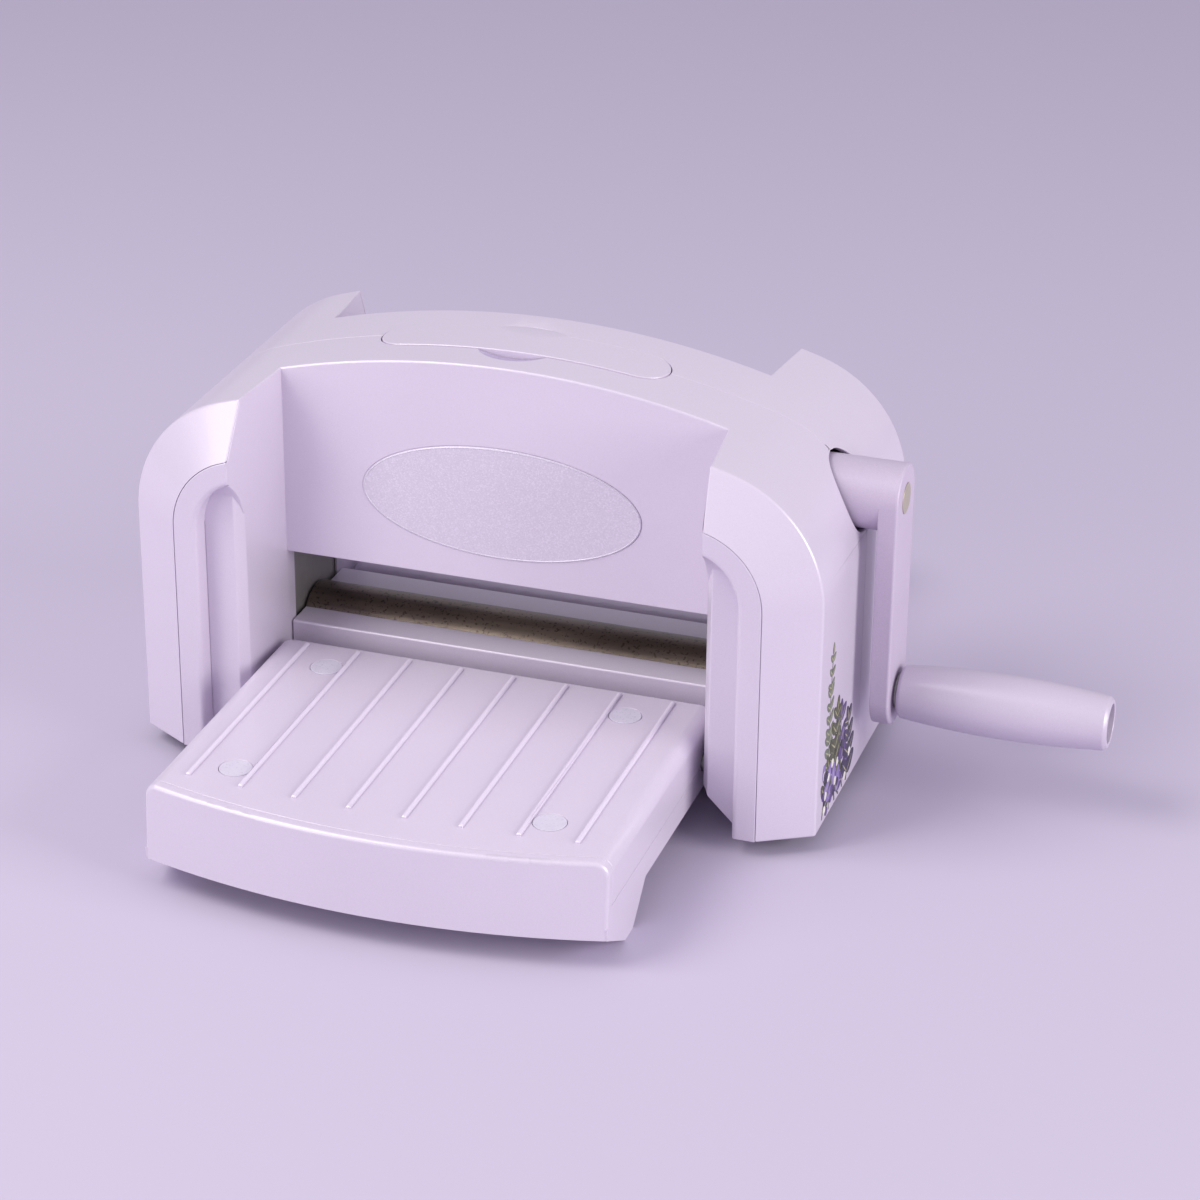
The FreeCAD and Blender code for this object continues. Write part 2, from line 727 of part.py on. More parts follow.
def right_side_plate():
    plate = box(PLATE_X, PLATE_OUT_X, -PLATE_HALF_Y, PLATE_HALF_Y, FLOOR_Z, PLATE_TOP_Z)
    tops = []
    for edge in plate.Edges:
        centre = edge.CenterOfMass
        if abs(centre.y) > PLATE_HALF_Y - SMALL and centre.z > PLATE_TOP_Z - SMALL:
            tops.append(edge)
    plate = plate.makeFillet(PLATE_CORNER_R, tops)
    foot_in = PLATE_X - PLATE_FOOT_W
    foot_z = FLOOR_Z + PLATE_T
    plate = plate.fuse(box(foot_in, PLATE_X, -ROLLER_R, ROLLER_R, FLOOR_Z, foot_z))
    for z in (LOWER_Z, UPPER_Z):
        plate = plate.cut(rod_x(JOURNAL_R + BUSH_WALL, PLATE_X, PLATE_OUT_X, 0, z))
    for y in (-TIE_Y, TIE_Y):
        plate = plate.cut(rod_x(TIE_END_R, PLATE_X, PLATE_OUT_X, y, TIE_Z))
    return plate.removeSplitter()


def crank_bush_hole(x0, x1):
    return rod_x(SHAFT_R + BUSH_WALL, x0, x1, 0, CRANK_Z)


def tie_rods():
    rods = []
    for y in (-TIE_Y, TIE_Y):
        body = rod_x(TIE_R, -PLATE_X, PLATE_X, y, TIE_Z)
        ends = rod_x(TIE_END_R, -TIE_END_X, TIE_END_X, y, TIE_Z)
        rods.append(union([body, ends]))
    return group(rods)


def tie_nuts():
    nuts = []
    radius = NUT_FLATS / 2 / math.cos(math.pi / NUT_SIDES)
    corners = [polar(radius, 2 * math.pi * k / NUT_SIDES) for k in range(NUT_SIDES)]
    for y in (-TIE_Y, TIE_Y):
        outline = [(y + a, TIE_Z + b) for a, b in corners]
        nut = side_prism(outline, PLATE_OUT_X, PLATE_OUT_X + NUT_T)
        nut = nut.cut(rod_x(TIE_END_R, PLATE_X, GEAR_X, y, TIE_Z))
        nuts += both_sides(nut)
    return group(nuts)


def flanged_bush(bore_r, x0, x1, flange_x0, flange_x1, z):
    sleeve = rod_x(bore_r + BUSH_WALL, x0, x1, 0, z)
    flange = rod_x(bore_r + BUSH_WALL + BUSH_FLANGE_R, flange_x0, flange_x1, 0, z)
    bore = rod_x(bore_r + RUN_GAP, min(x0, flange_x0), max(x1, flange_x1), 0, z)
    return sleeve.fuse(flange).removeSplitter().cut(bore)


def roller_bushes():
    flange_x = PLATE_OUT_X + BUSH_FLANGE_T
    bushes = []
    for z in (LOWER_Z, UPPER_Z):
        bushes += both_sides(flanged_bush(JOURNAL_R, PLATE_X, PLATE_OUT_X, PLATE_OUT_X, flange_x, z))
    return group(bushes)


def crank_bushes():
    flange_x = PLATE_OUT_X + BUSH_FLANGE_T
    inner = flanged_bush(SHAFT_R, PLATE_X, PLATE_OUT_X, PLATE_OUT_X, flange_x, CRANK_Z)
    flange_x = GEAR_PLATE_X - BUSH_FLANGE_T
    outer = flanged_bush(SHAFT_R, GEAR_PLATE_X, GEAR_PLATE_END_X, flange_x, GEAR_PLATE_X, CRANK_Z)
    return group([inner, outer])


def standoff_places():
    heights = (UPPER_Z - STANDOFF_DROP, CRANK_Z + STANDOFF_RISE)
    return [(y, z) for y in (-STANDOFF_Y, STANDOFF_Y) for z in heights]


def gear_plate():
    low = UPPER_Z - GEAR_PLATE_DROP
    high = CRANK_Z + GEAR_PLATE_RISE
    plate = box(GEAR_PLATE_X, GEAR_PLATE_END_X, -PLATE_HALF_Y, PLATE_HALF_Y, low, high)
    corners = [edge for edge in plate.Edges if edge.BoundBox.XLength > GEAR_PLATE_T / 2]
    plate = plate.makeFillet(STANDOFF_R, corners)
    window = rod_x(PLATE_HALF_Y - STANDOFF_R, GEAR_PLATE_X, GEAR_PLATE_END_X, 0, UPPER_Z)
    return plate.cut(window).cut(crank_bush_hole(GEAR_PLATE_X, GEAR_PLATE_END_X))


def gear_standoffs():
    return group([rod_x(STANDOFF_R, PLATE_OUT_X, GEAR_PLATE_X, y, z) for y, z in standoff_places()])


def front_sill():
    """Bent sill of the feed slot: foot, face, rounded nose and a ledge reaching to the roller."""
    outline = [
        (-SILL_Y, FLOOR_Z),
        (-SILL_Y + SILL_FOOT_W, FLOOR_Z),
        (-SILL_Y + SILL_FOOT_W, FLOOR_Z + SILL_T),
        (-SILL_Y + SILL_T, FLOOR_Z + SILL_T),
        (-SILL_Y + SILL_T, SILL_LOW_Z),
        (-SILL_LOW_Y, SILL_LOW_Z),
        (-SILL_TOP_Y, SILL_TOP_Z),
        (-SILL_Y, SILL_TOP_Z),
    ]
    sill = side_prism(outline, -SILL_HALF_X, SILL_HALF_X)
    nose = []
    for edge in sill.Edges:
        centre = edge.CenterOfMass
        if edge.Length > SILL_HALF_X and centre.z > SILL_LOW_Z and centre.y < -SILL_Y + SMALL / 2:
            nose.append(edge)
    return sill.makeFillet(SILL_NOSE_R, nose)


def front_hinge_pins():
    return group(both_sides(rod_x(PIN_R, PIN_IN_X, PIN_OUT_X, -HINGE_Y, HINGE_Z)))


# Gears


def involute(base_r, radius):
    """Angle swept by the involute of base_r at a radius."""
    ratio = max(radius / base_r, 1.0)
    tangent = math.sqrt(ratio * ratio - 1.0)
    return tangent - math.atan(tangent)


def gear(module, teeth, first_angle, x0, bore_r, z):
    """Spur gear about X; first_angle is the direction of one tooth in the YZ plane."""
    pitch_r = module * teeth / 2
    base_r = pitch_r * math.cos(math.radians(PRESSURE_DEG))
    tip_r = pitch_r + ADDENDUM * module
    root_r = pitch_r - DEDENDUM * module
    half_pitch = math.pi / (2 * teeth) - BACKLASH / (4 * pitch_r)
    half_base = half_pitch + involute(base_r, pitch_r)
    start_r = max(base_r, root_r)
    radii = [start_r + (tip_r - start_r) * k / FLANK_STEPS for k in range(FLANK_STEPS + 1)]
    flank = [(r, half_base - involute(base_r, r)) for r in radii]
    edges = []
    step = 2 * math.pi / teeth

    def at(radius, angle):
        a, b = polar(radius, angle)
        return vec(x0, a, z + b)

    for k in range(teeth):
        mid = first_angle + k * step
        rising = [at(r, mid - a) for r, a in flank]
        falling = [at(r, mid + a) for r, a in reversed(flank)]
        root_in = at(root_r, mid - flank[0][1])
        root_out = at(root_r, mid + flank[0][1])
        next_in = at(root_r, mid + step - flank[0][1])
        if start_r > root_r:
            edges.append(Part.makeLine(root_in, rising[0]))
        up = Part.BSplineCurve()
        up.interpolate(rising)
        edges.append(up.toShape())
        edges.append(Part.Arc(rising[-1], at(tip_r, mid), falling[0]).toShape())
        down = Part.BSplineCurve()
        down.interpolate(falling)
        edges.append(down.toShape())
        if start_r > root_r:
            edges.append(Part.makeLine(falling[-1], root_out))
        edges.append(Part.Arc(root_out, at(root_r, mid + step / 2), next_in).toShape())
    blank = Part.Face(Part.Wire(edges)).extrude(vec(GEAR_W, 0, 0))
    return blank.cut(rod_x(bore_r, x0, x0 + GEAR_W, 0, z))


def lightened(blank, module, teeth, x0, z):
    """Turn both faces of a gear down to a web and drill the web."""
    rim_r = module * teeth / 2 - DEDENDUM * module - GEAR_RIM
    side = (GEAR_W - WEB_W) / 2
    for start in (x0, x0 + GEAR_W - side):
        ring_cut = rod_x(rim_r, start, start + side, 0, z)
        blank = blank.cut(ring_cut.cut(rod_x(GEAR_HUB_R, start, start + side, 0, z)))
    for k in range(LIGHT_HOLES):
        a, b = polar((rim_r + GEAR_HUB_R) / 2, 2 * math.pi * k / LIGHT_HOLES)
        hole_r = min(LIGHT_HOLE_R, (rim_r - GEAR_HUB_R) / 3)
        blank = blank.cut(rod_x(hole_r, x0, x0 + GEAR_W, a, z + b))
    return blank


def drive_gear():
    tooth = math.pi / 2 + math.pi / DRIVE_TEETH
    blank = gear(DRIVE_MODULE, DRIVE_TEETH, tooth, GEAR_X, JOURNAL_R, UPPER_Z)
    return lightened(blank, DRIVE_MODULE, DRIVE_TEETH, GEAR_X, UPPER_Z)


def crank_pinion():
    return gear(DRIVE_MODULE, PINION_TEETH, -math.pi / 2, GEAR_X, SHAFT_R, CRANK_Z)


def timing_gear(z, tooth):
    x0 = -GEAR_X - GEAR_W
    blank = gear(TIMING_MODULE, TIMING_TEETH, tooth, x0, JOURNAL_R, z)
    return lightened(blank, TIMING_MODULE, TIMING_TEETH, x0, z)


def roller(z, right_end):
    body_x = PLATE_X - ROLLER_END_GAP
    body = rod_x(ROLLER_R, -body_x, body_x, 0, z)
    body = body.makeChamfer(SMALL / 2, [edge for edge in body.Edges if edge.Closed])
    return body.fuse(rod_x(JOURNAL_R, -JOURNAL_END_X, right_end, 0, z)).removeSplitter()


# Crank


def crank_arm():
    plate = union([
        rod_x(ARM_R, ARM_X, ARM_OUT_X, 0, CRANK_Z),
        rod_x(ARM_R, ARM_X, ARM_OUT_X, 0, GRIP_Z),
        box(ARM_X, ARM_OUT_X, -ARM_R, ARM_R, GRIP_Z, CRANK_Z),
    ])
    rim = [edge for edge in plate.Edges if edge.BoundBox.XMin > ARM_OUT_X - SMALL / 2]
    plate = plate.makeFillet(ARM_ROUND, rim)
    arm = plate.fuse(rod_x(HUB_R, HUB_IN_X, ARM_X + SMALL, 0, CRANK_Z))
    arm = arm.cut(rod_x(SHAFT_R, HUB_IN_X, SHAFT_OUT_X, 0, CRANK_Z))
    arm = arm.cut(rod_x(CAP_R, ARM_OUT_X - CAP_T, ARM_OUT_X, 0, CRANK_Z))
    return arm.cut(rod_x(SPINDLE_R, ARM_OUT_X - SPINDLE_IN, ARM_OUT_X, 0, GRIP_Z))


def arm_cap():
    start = ARM_OUT_X - CAP_T
    return rod_x(CAP_R, start, ARM_OUT_X + CAP_PROUD, 0, CRANK_Z)


def crank_shaft():
    return rod_x(SHAFT_R, SHAFT_IN_X, SHAFT_OUT_X, 0, CRANK_Z)


def grip_spindle():
    seat = GRIP_OUT_X - GRIP_CUP_L + SIDE_GAP
    parts = [
        rod_x(SPINDLE_R, ARM_OUT_X - SPINDLE_IN, seat + SPINDLE_HEAD_T, 0, GRIP_Z),
        rod_x(SPINDLE_COLLAR_R, ARM_OUT_X, ARM_OUT_X + SPINDLE_COLLAR_T, 0, GRIP_Z),
        rod_x(SPINDLE_HEAD_R, seat, seat + SPINDLE_HEAD_T, 0, GRIP_Z),
    ]
    return union(parts)


def crank_grip():
    """Barrel-shaped grip turned about its spindle, hollow at the outer end."""
    def at(x, radius):
        return vec(x, 0, GRIP_Z + radius)

    bore = SPINDLE_R + RUN_GAP
    cup_x = GRIP_OUT_X - GRIP_CUP_L
    shoulder_in = at(GRIP_X, GRIP_END_R - GRIP_ROUND)
    shoulder_out = at(GRIP_OUT_X, GRIP_END_R - GRIP_ROUND)
    barrel_in = at(GRIP_X + GRIP_ROUND, GRIP_END_R)
    barrel_out = at(GRIP_OUT_X - GRIP_ROUND, GRIP_END_R)
    barrel_mid = at((GRIP_X + GRIP_OUT_X) / 2, GRIP_MID_R)
    edges = [
        Part.makeLine(at(GRIP_X, bore), shoulder_in),
        Part.makeLine(shoulder_in, barrel_in),
        Part.Arc(barrel_in, barrel_mid, barrel_out).toShape(),
        Part.makeLine(barrel_out, shoulder_out),
        Part.makeLine(shoulder_out, at(GRIP_OUT_X, GRIP_CUP_R)),
        Part.makeLine(at(GRIP_OUT_X, GRIP_CUP_R), at(cup_x, GRIP_CUP_R)),
        Part.makeLine(at(cup_x, GRIP_CUP_R), at(cup_x, bore)),
        Part.makeLine(at(cup_x, bore), at(GRIP_X, bore)),
    ]
    return Part.Face(Part.Wire(edges)).revolve(vec(0, 0, GRIP_Z), X_AXIS, 360)


# Carry handle


def carry_handle():
    """Grip bar with its thumb tab, following the crown and standing a little proud of it."""
    top = arch_prism(-BAR_PROUD, -REACH, REACH)
    bar = union([bar_outline(0, BAR_LOW_Z, REACH), thumb_tab(0, REACH)]).common(top)
    rim = []
    for edge in bar.Edges:
        bounds = edge.BoundBox
        level = bounds.ZLength < SHELL_T * 2
        if level and bounds.ZMin > CROWN_Z - TAB_T + SMALL:
            rim.append(edge)
    return bar.makeFillet(BAR_ROUND, rim).cut(tab_roll())


def handle_legs():
    return group([rod_z(LEG_R, LEG_LOW_Z, BAR_LOW_Z, x, 0) for x in (-LEG_X, LEG_X)])


def handle_stops():
    stops = []
    for x in (-LEG_X, LEG_X):
        stop = rod_z(STOP_R, LEG_LOW_Z, LEG_LOW_Z + STOP_T, x, 0)
        stops.append(stop.cut(rod_z(LEG_R, LEG_LOW_Z, BAR_LOW_Z, x, 0)))
    return group(stops)


# Folding tray at the front


def tray_block(inset, front_inset, z0, z1):
    """Tray outline with its bowed, leaning front, moved inward by the insets."""
    side = TRAY_HALF_W - inset
    bow_r = (TRAY_HALF_W ** 2 + TRAY_BOW ** 2) / (2 * TRAY_BOW)
    front_y = -TRAY_OUT_Y - TRAY_BOW
    lean = TRAY_LEAN / (TRAY_TOP_Z - FRONT_LOW_Z)
    low_r = bow_r - front_inset - lean * (z0 - FRONT_LOW_Z)
    high_r = bow_r - front_inset - lean * (z1 - FRONT_LOW_Z)
    drum = Part.makeCone(low_r, high_r, z1 - z0, vec(0, front_y + bow_r, z0))
    return box(-side, side, front_y - TRAY_BOW, -TRAY_IN_Y - inset, z0, z1).common(drum)


def top_edges(body):
    return [edge for edge in body.Edges if edge.BoundBox.ZMin > TRAY_TOP_Z - SMALL]


def tray_body():
    """Whole tray with its rounded top edges, before it is split into deck and base."""
    body = tray_block(0, 0, FRONT_LOW_Z, TRAY_TOP_Z)
    sides = [edge for edge in top_edges(body) if edge.BoundBox.XLength < SMALL]
    body = body.makeFillet(SIDE_ROUND, sides)
    inner = []
    for edge in body.Edges:
        bounds = edge.BoundBox
        if bounds.YMin > -TRAY_IN_Y - SMALL and bounds.ZMin > TRAY_LOW_Z:
            inner.append(edge)
    body = body.makeFillet(INNER_ROUND, inner)
    rim = []
    for edge in top_edges(body):
        bounds = edge.BoundBox
        if bounds.XLength > TRAY_HALF_W and bounds.YMin < -TRAY_OUT_Y + SMALL:
            rim.append(edge)
    return body.makeFillet(FRONT_ROUND, rim)


def tray_hollow():
    return tray_block(TRAY_T, FRONT_T + TRAY_T, TRAY_LOW_Z + TRAY_T, TRAY_TOP_Z - DECK_T)


def hinge_hole(radius, x0, x1):
    return both_sides(rod_x(radius, x0, x1, -HINGE_Y, HINGE_Z))


def pad_places():
    columns = (PATTERN_X - PAD_X, PATTERN_X + PAD_X)
    return [(x, -y) for x in columns for y in (PAD_IN_Y, PAD_OUT_Y)]


def tray_rib(x):
    out_y = RIB_OUT_Y + RIB_BOW * (1 - (x / TRAY_HALF_W) ** 2)
    top = TRAY_TOP_Z + RIB_H
    rib = box(x - RIB_W / 2, x + RIB_W / 2, -out_y, -RIB_IN_Y, TRAY_TOP_Z - SMALL, top)
    crest = [edge for edge in rib.Edges if edge.BoundBox.ZMin > TRAY_TOP_Z]
    return rib.makeFillet(RIB_ROUND, crest)


def front_deck():
    region = tray_block(0, FRONT_T + FRONT_SEAM, DECK_SPLIT_Z, TRAY_TOP_Z)
    deck = tray_body().common(region).cut(tray_hollow())
    first = PATTERN_X - RIB_PITCH * (RIB_COUNT - 1) / 2
    ribs = [tray_rib(first + k * RIB_PITCH) for k in range(RIB_COUNT)]
    deck = union([deck] + ribs)
    for x, y in pad_places():
        deck = deck.cut(rod_z(PAD_R + PAD_GAP, PAD_SEAT_Z, REACH, x, y))
    for cutter in hinge_hole(PIN_HOLE_R, PIN_IN_X, PLATE_X):
        deck = deck.cut(cutter)
    return deck


def front_pads():
    top = PAD_SEAT_Z + PAD_T
    return group([rod_z(PAD_R, PAD_SEAT_Z, top, x, y) for x, y in pad_places()])


def tray_foot():
    back_y = TRAY_FOOT_Y - TRAY_FOOT_L
    root_y = back_y - TRAY_FOOT_RAMP
    floor_z = TRAY_LOW_Z + TRAY_T
    outline = [
        (-TRAY_OUT_Y, FRONT_LOW_Z),
        (-TRAY_FOOT_Y, 0),
        (-back_y, 0),
        (-root_y, TRAY_LOW_Z),
        (-root_y, floor_z),
        (-TRAY_OUT_Y, floor_z),
    ]
    return side_prism(outline, TRAY_HALF_W - TRAY_FOOT_W, TRAY_HALF_W)


def hinge_boss():
    low = TRAY_LOW_Z + TRAY_T / 2
    y0 = -HINGE_Y - HINGE_BOSS_R
    y1 = -HINGE_Y + HINGE_BOSS_R
    block = box(HINGE_BOSS_X, HINGE_BOSS_OUT_X, y0, y1, low, HINGE_Z)
    barrel = rod_x(HINGE_BOSS_R, HINGE_BOSS_X, HINGE_BOSS_OUT_X, -HINGE_Y, HINGE_Z)
    return block.fuse(barrel).removeSplitter()


def front_tray_base():
    pan = tray_block(0, FRONT_T / 2, TRAY_LOW_Z, DECK_SPLIT_Z)
    face = tray_block(0, 0, FRONT_LOW_Z, TRAY_TOP_Z)
    face = face.cut(tray_block(-SMALL, FRONT_T, FRONT_LOW_Z - SMALL, TRAY_TOP_Z + SMALL))
    shape = tray_body().common(union([pan, face])).cut(tray_hollow())
    shape = union([shape] + both_sides(tray_foot()) + both_sides(hinge_boss()))
    wall_in_x = TRAY_HALF_W - TRAY_T
    for cutter in hinge_hole(PIN_R + RUN_GAP, PIN_IN_X - SMALL, wall_in_x):
        shape = shape.cut(cutter)
    for cutter in hinge_hole(PIN_HOLE_R, wall_in_x, PLATE_X):
        shape = shape.cut(cutter)
    return shape


# Assembly


def nodes():
    shell = half_shell()
    sill = front_sill()
    pins = front_hinge_pins()
    deck = front_deck()
    tray_base = front_tray_base()
    pads = front_pads()
    plate = right_side_plate()
    return {
        "front_shell": cut_handle(shell),
        "rear_shell": cut_handle(mirror_y(shell)),
        "front_fascia": front_fascia(),
        "rear_fascia": mirror_y(fascia()),
        "badge_plate": badge_plate(),
        "handle_well": handle_well(),
        "base_plate": base_plate(),
        "rubber_feet": rubber_feet(),
        "base_screws": base_screws(),
        "right_side_plate": plate.cut(crank_bush_hole(PLATE_X, PLATE_OUT_X)),
        "left_side_plate": mirror_x(plate),
        "tie_rods": tie_rods(),
        "tie_nuts": tie_nuts(),
        "gear_plate": gear_plate(),
        "gear_standoffs": gear_standoffs(),
        "roller_bushes": roller_bushes(),
        "crank_bushes": crank_bushes(),
        "front_sill": sill,
        "rear_sill": mirror_y(sill),
        "front_hinge_pins": pins,
        "rear_hinge_pins": mirror_y(pins),
        "carry_handle": carry_handle(),
        "handle_legs": handle_legs(),
        "handle_stops": handle_stops(),
        "crank_shaft": crank_shaft(),
        "crank_pinion": crank_pinion(),
        "crank_arm": crank_arm(),
        "arm_cap": arm_cap(),
        "grip_spindle": grip_spindle(),
        "crank_grip": crank_grip(),
        "upper_roller": roller(UPPER_Z, JOURNAL_END_X),
        "drive_gear": drive_gear(),
        "upper_timing_gear": timing_gear(UPPER_Z, -math.pi / 2),
        "lower_roller": roller(LOWER_Z, LOWER_END_X),
        "lower_timing_gear": timing_gear(LOWER_Z, math.pi / 2 + math.pi / TIMING_TEETH),
        "front_deck": deck,
        "front_tray_base": tray_base,
        "front_pads": pads,
        "rear_deck": mirror_y(deck),
        "rear_tray_base": mirror_y(tray_base),
        "rear_pads": mirror_y(pads),
    }


os.makedirs("parts", exist_ok=True)
for name, shape in nodes().items():
    shape.translated(SHIFT).exportStep("parts/" + name + ".step")
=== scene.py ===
import bpy
import math
import random
from mathutils import Matrix, Vector, kdtree


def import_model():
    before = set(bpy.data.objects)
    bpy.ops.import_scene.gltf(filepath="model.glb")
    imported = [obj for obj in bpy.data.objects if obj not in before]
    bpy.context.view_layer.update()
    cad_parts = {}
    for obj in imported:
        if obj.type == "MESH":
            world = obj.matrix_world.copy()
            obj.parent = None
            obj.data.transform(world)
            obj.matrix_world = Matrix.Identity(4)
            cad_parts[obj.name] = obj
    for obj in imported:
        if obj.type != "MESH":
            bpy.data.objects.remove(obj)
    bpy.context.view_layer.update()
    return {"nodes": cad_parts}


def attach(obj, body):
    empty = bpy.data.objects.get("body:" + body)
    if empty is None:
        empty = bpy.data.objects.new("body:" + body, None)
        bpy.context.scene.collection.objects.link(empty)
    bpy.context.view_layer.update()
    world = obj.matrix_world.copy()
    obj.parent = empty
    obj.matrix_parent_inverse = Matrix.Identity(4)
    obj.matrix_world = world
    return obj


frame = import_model()
NODES = frame["nodes"]
MM = 0.001

# Places repeated from the solids, in millimetres
MID_X = -43.75
SIDE_X = 78.75
BADGE_Z = 97.5
BADGE_HALF_W = 50.5
BADGE_HALF_H = 20.5
BADGE_FACE_Y = -25.5
FRONT_Y = 65.0
PANEL_Y = 25.2
LIP = 1.0
CROWN_Z = 147.6
CROWN_R = 307.0
RIB_FOOT_Z = 38.0
HANDLE_HALF_Y = 20.0
HANDLE_LOW_Z = 130.0
DISH_CENTRE = (-44.95, -2.7, 183.6)
DISH_R = 39.08
TRAY_TOP_Z = 37.7
TRAY_ROUND = 1.6
TRAY_HALF_X = 76.0
TRAY_ARC_Y = 128.5
TRAY_ARC_R = 284.35
LIP_END_Y = 54.0
CRANK_Z = 109.6

# How near a point has to be to count as on a surface, in millimetres
NEAR = 0.1
NEAR_SEAM = 0.01
NEAR_DISH = 0.3

# Edge rounding, angles in degrees
CORNER_ANGLE = 14.0
FLAT_ANGLE = 0.4
SPLIT_ANGLE = 50.0

# Edge rounding, steps and lengths in millimetres
MICRONS_PER_M = 1e6
MICRONS_PER_MM = 1000
MARK_STEP = 0.5
WELD_GAP = 0.002
EDGE_STEPS = 3

# Edge rounding, shares of an edge's full width
FINE_EDGE = 0.25
BAND_EDGE = 0.3
LEAST_EDGE = 0.06

# Room for an edge: reach in widths, share of the gap that it may take, cosine of edges that run on as one
ROOM_REACH = 2.4
ROOM_SKIP = 4
ROOM_SHARE = 0.42
STRAIGHT_ON = -0.75

# Share of a tray's round, from its foot, that keeps its own normals
ROUND_LOW = 0.03

# Print on the side, lengths in millimetres
SPRIG_SEED = 5
SPRIG_EDGE_Y = -51.0
SPRIG_LOW_Z = 7.0
BERRY_COUNT = 26
BERRY_SIZE = 3.2
BERRY_Y = (-49.0, -14.0)
BERRY_Z = (8.5, 26.0)
OVAL_POINTS = 18
STEM_STEPS = 24
STEM_HALF = 0.35
VEIN_WIDTH = 0.5
PRINT_RAISE = 0.04
PRINT_LAYER = 0.0012
PRINT_SINK = 0.02

# Leaves: shares of a leaf's length, places as shares of the stem, angles in radians
LEAF_WIDTH = 0.56
LEAF_FULLER = 0.22
VEIN_LENGTH = 0.8
LEAF_TAPER = 0.5
TIP_LEAF = 0.55
LEAF_START = 0.14
LEAF_RUN = 0.82
LEAF_SPREAD = 0.95
LEAF_SWAY = 0.12

# Stage: places and sizes in metres, angles in degrees, lens and sensor in millimetres
FLOOR_HALF = 30.0
CAMERA_PLACE = (0.33215, -1.0536, 0.5935)
CAMERA_TURN = 18.29
CAMERA_TILT = 25.92
CAMERA_ROLL = 0.51
CAMERA_LENS = 105.57
CAMERA_SENSOR = 36.0
WORLD_COLOUR = (0.9, 0.87, 1.0, 1)
WORLD_STRENGTH = 0.56
LAMP_COLOUR = (1.0, 0.995, 0.925)
LAMP_SIZE = 0.8

# Lilac tints as display values of 0 to 255, and the height in millimetres over which the painted highlight
# on a rib's crest fades in
LILAC = (214, 203, 222)
GRIP_LILAC = (201, 189, 210)
ARM_LILAC = (196, 182, 205)
# The dish tint is painted shade for the hollow of the front finger dish
DISH_SHADE_LILAC = (188, 174, 208)
HIGHLIGHT_FADE = 0.4


def srgb(r, g, b):
    """Linear RGBA from display values of 0 to 255."""
    out = []
    for v in (r, g, b):
        v = min(max(v, 0), 255) / 255
        out.append(v / 12.92 if v <= 0.04045 else ((v + 0.055) / 1.055) ** 2.4)
    return (*out, 1.0)


def shade(colour, step):
    """The colour with the step added to each display value."""
    return srgb(*[v + step for v in colour])


class Shader:
    """Short helper for building one node material."""

    def __init__(self, name):
        self.mat = bpy.data.materials.new(name)
        self.mat.use_nodes = True
        self.tree = self.mat.node_tree
        self.bsdf = self.tree.nodes["Principled BSDF"]
        self.coords = self.tree.nodes.new("ShaderNodeTexCoord").outputs["Object"]

    def put(self, socket, value):
        if isinstance(value, bpy.types.NodeSocket):
            self.tree.links.new(value, socket)
        else:
            socket.default_value = value

    def node(self, kind, **inputs):
        made = self.tree.nodes.new(kind)
        for key, value in inputs.items():
            self.put(made.inputs[key.replace("_", " ")], value)
        return made

    def set(self, **inputs):
        for key, value in inputs.items():
            self.put(self.bsdf.inputs[key.replace("_", " ")], value)

    def noise(self, scale, detail=3.0, rough=0.55, stretch=(1.0, 1.0, 1.0)):
        place = self.node("ShaderNodeMapping", Vector=self.coords, Scale=stretch)
        made = self.node("ShaderNodeTexNoise", Vector=place.outputs["Vector"], Scale=scale)
        made.inputs["Detail"].default_value = detail
        made.inputs["Roughness"].default_value = rough
        return made.outputs["Fac"]

    def cells(self, scale):
        made = self.node("ShaderNodeTexVoronoi", Vector=self.coords, Scale=scale)
        return self.node("ShaderNodeSeparateColor", Color=made.outputs["Color"]).outputs["Red"]

    def rings(self, scale, centre):
        place = self.node("ShaderNodeMapping", Vector=self.coords, Location=centre)
        made = self.node("ShaderNodeTexWave", Vector=place.outputs["Vector"], Scale=scale, Distortion=0.4)
        made.wave_type = "RINGS"
        made.rings_direction = "X"
        return made.outputs["Fac"]

    def ramp(self, fac, *stops):
        made = self.node("ShaderNodeValToRGB", Fac=fac)
        elements = made.color_ramp.elements
        while len(elements) < len(stops):
            elements.new(0.5)
        for element, (place, colour) in zip(elements, stops):
            element.position = place
            element.color = colour
        return made.outputs["Color"]

    def mixed(self, fac, a, b, blend="MIX"):
        made = self.tree.nodes.new("ShaderNodeMix")
        made.data_type = "RGBA"
        made.blend_type = blend
        self.put(made.inputs[0], fac)
        self.put(made.inputs[6], a)
        self.put(made.inputs[7], b)
        return made.outputs[2]

    def between(self, fac, low, high):
        made = self.node("ShaderNodeMapRange", Value=fac)
        made.inputs["To Min"].default_value = low
        made.inputs["To Max"].default_value = high
        return made.outputs["Result"]

    def bump(self, height, strength, distance):
        made = self.node("ShaderNodeBump", Height=height, Strength=strength, Distance=distance)
        self.set(Normal=made.outputs["Normal"])


# Materials


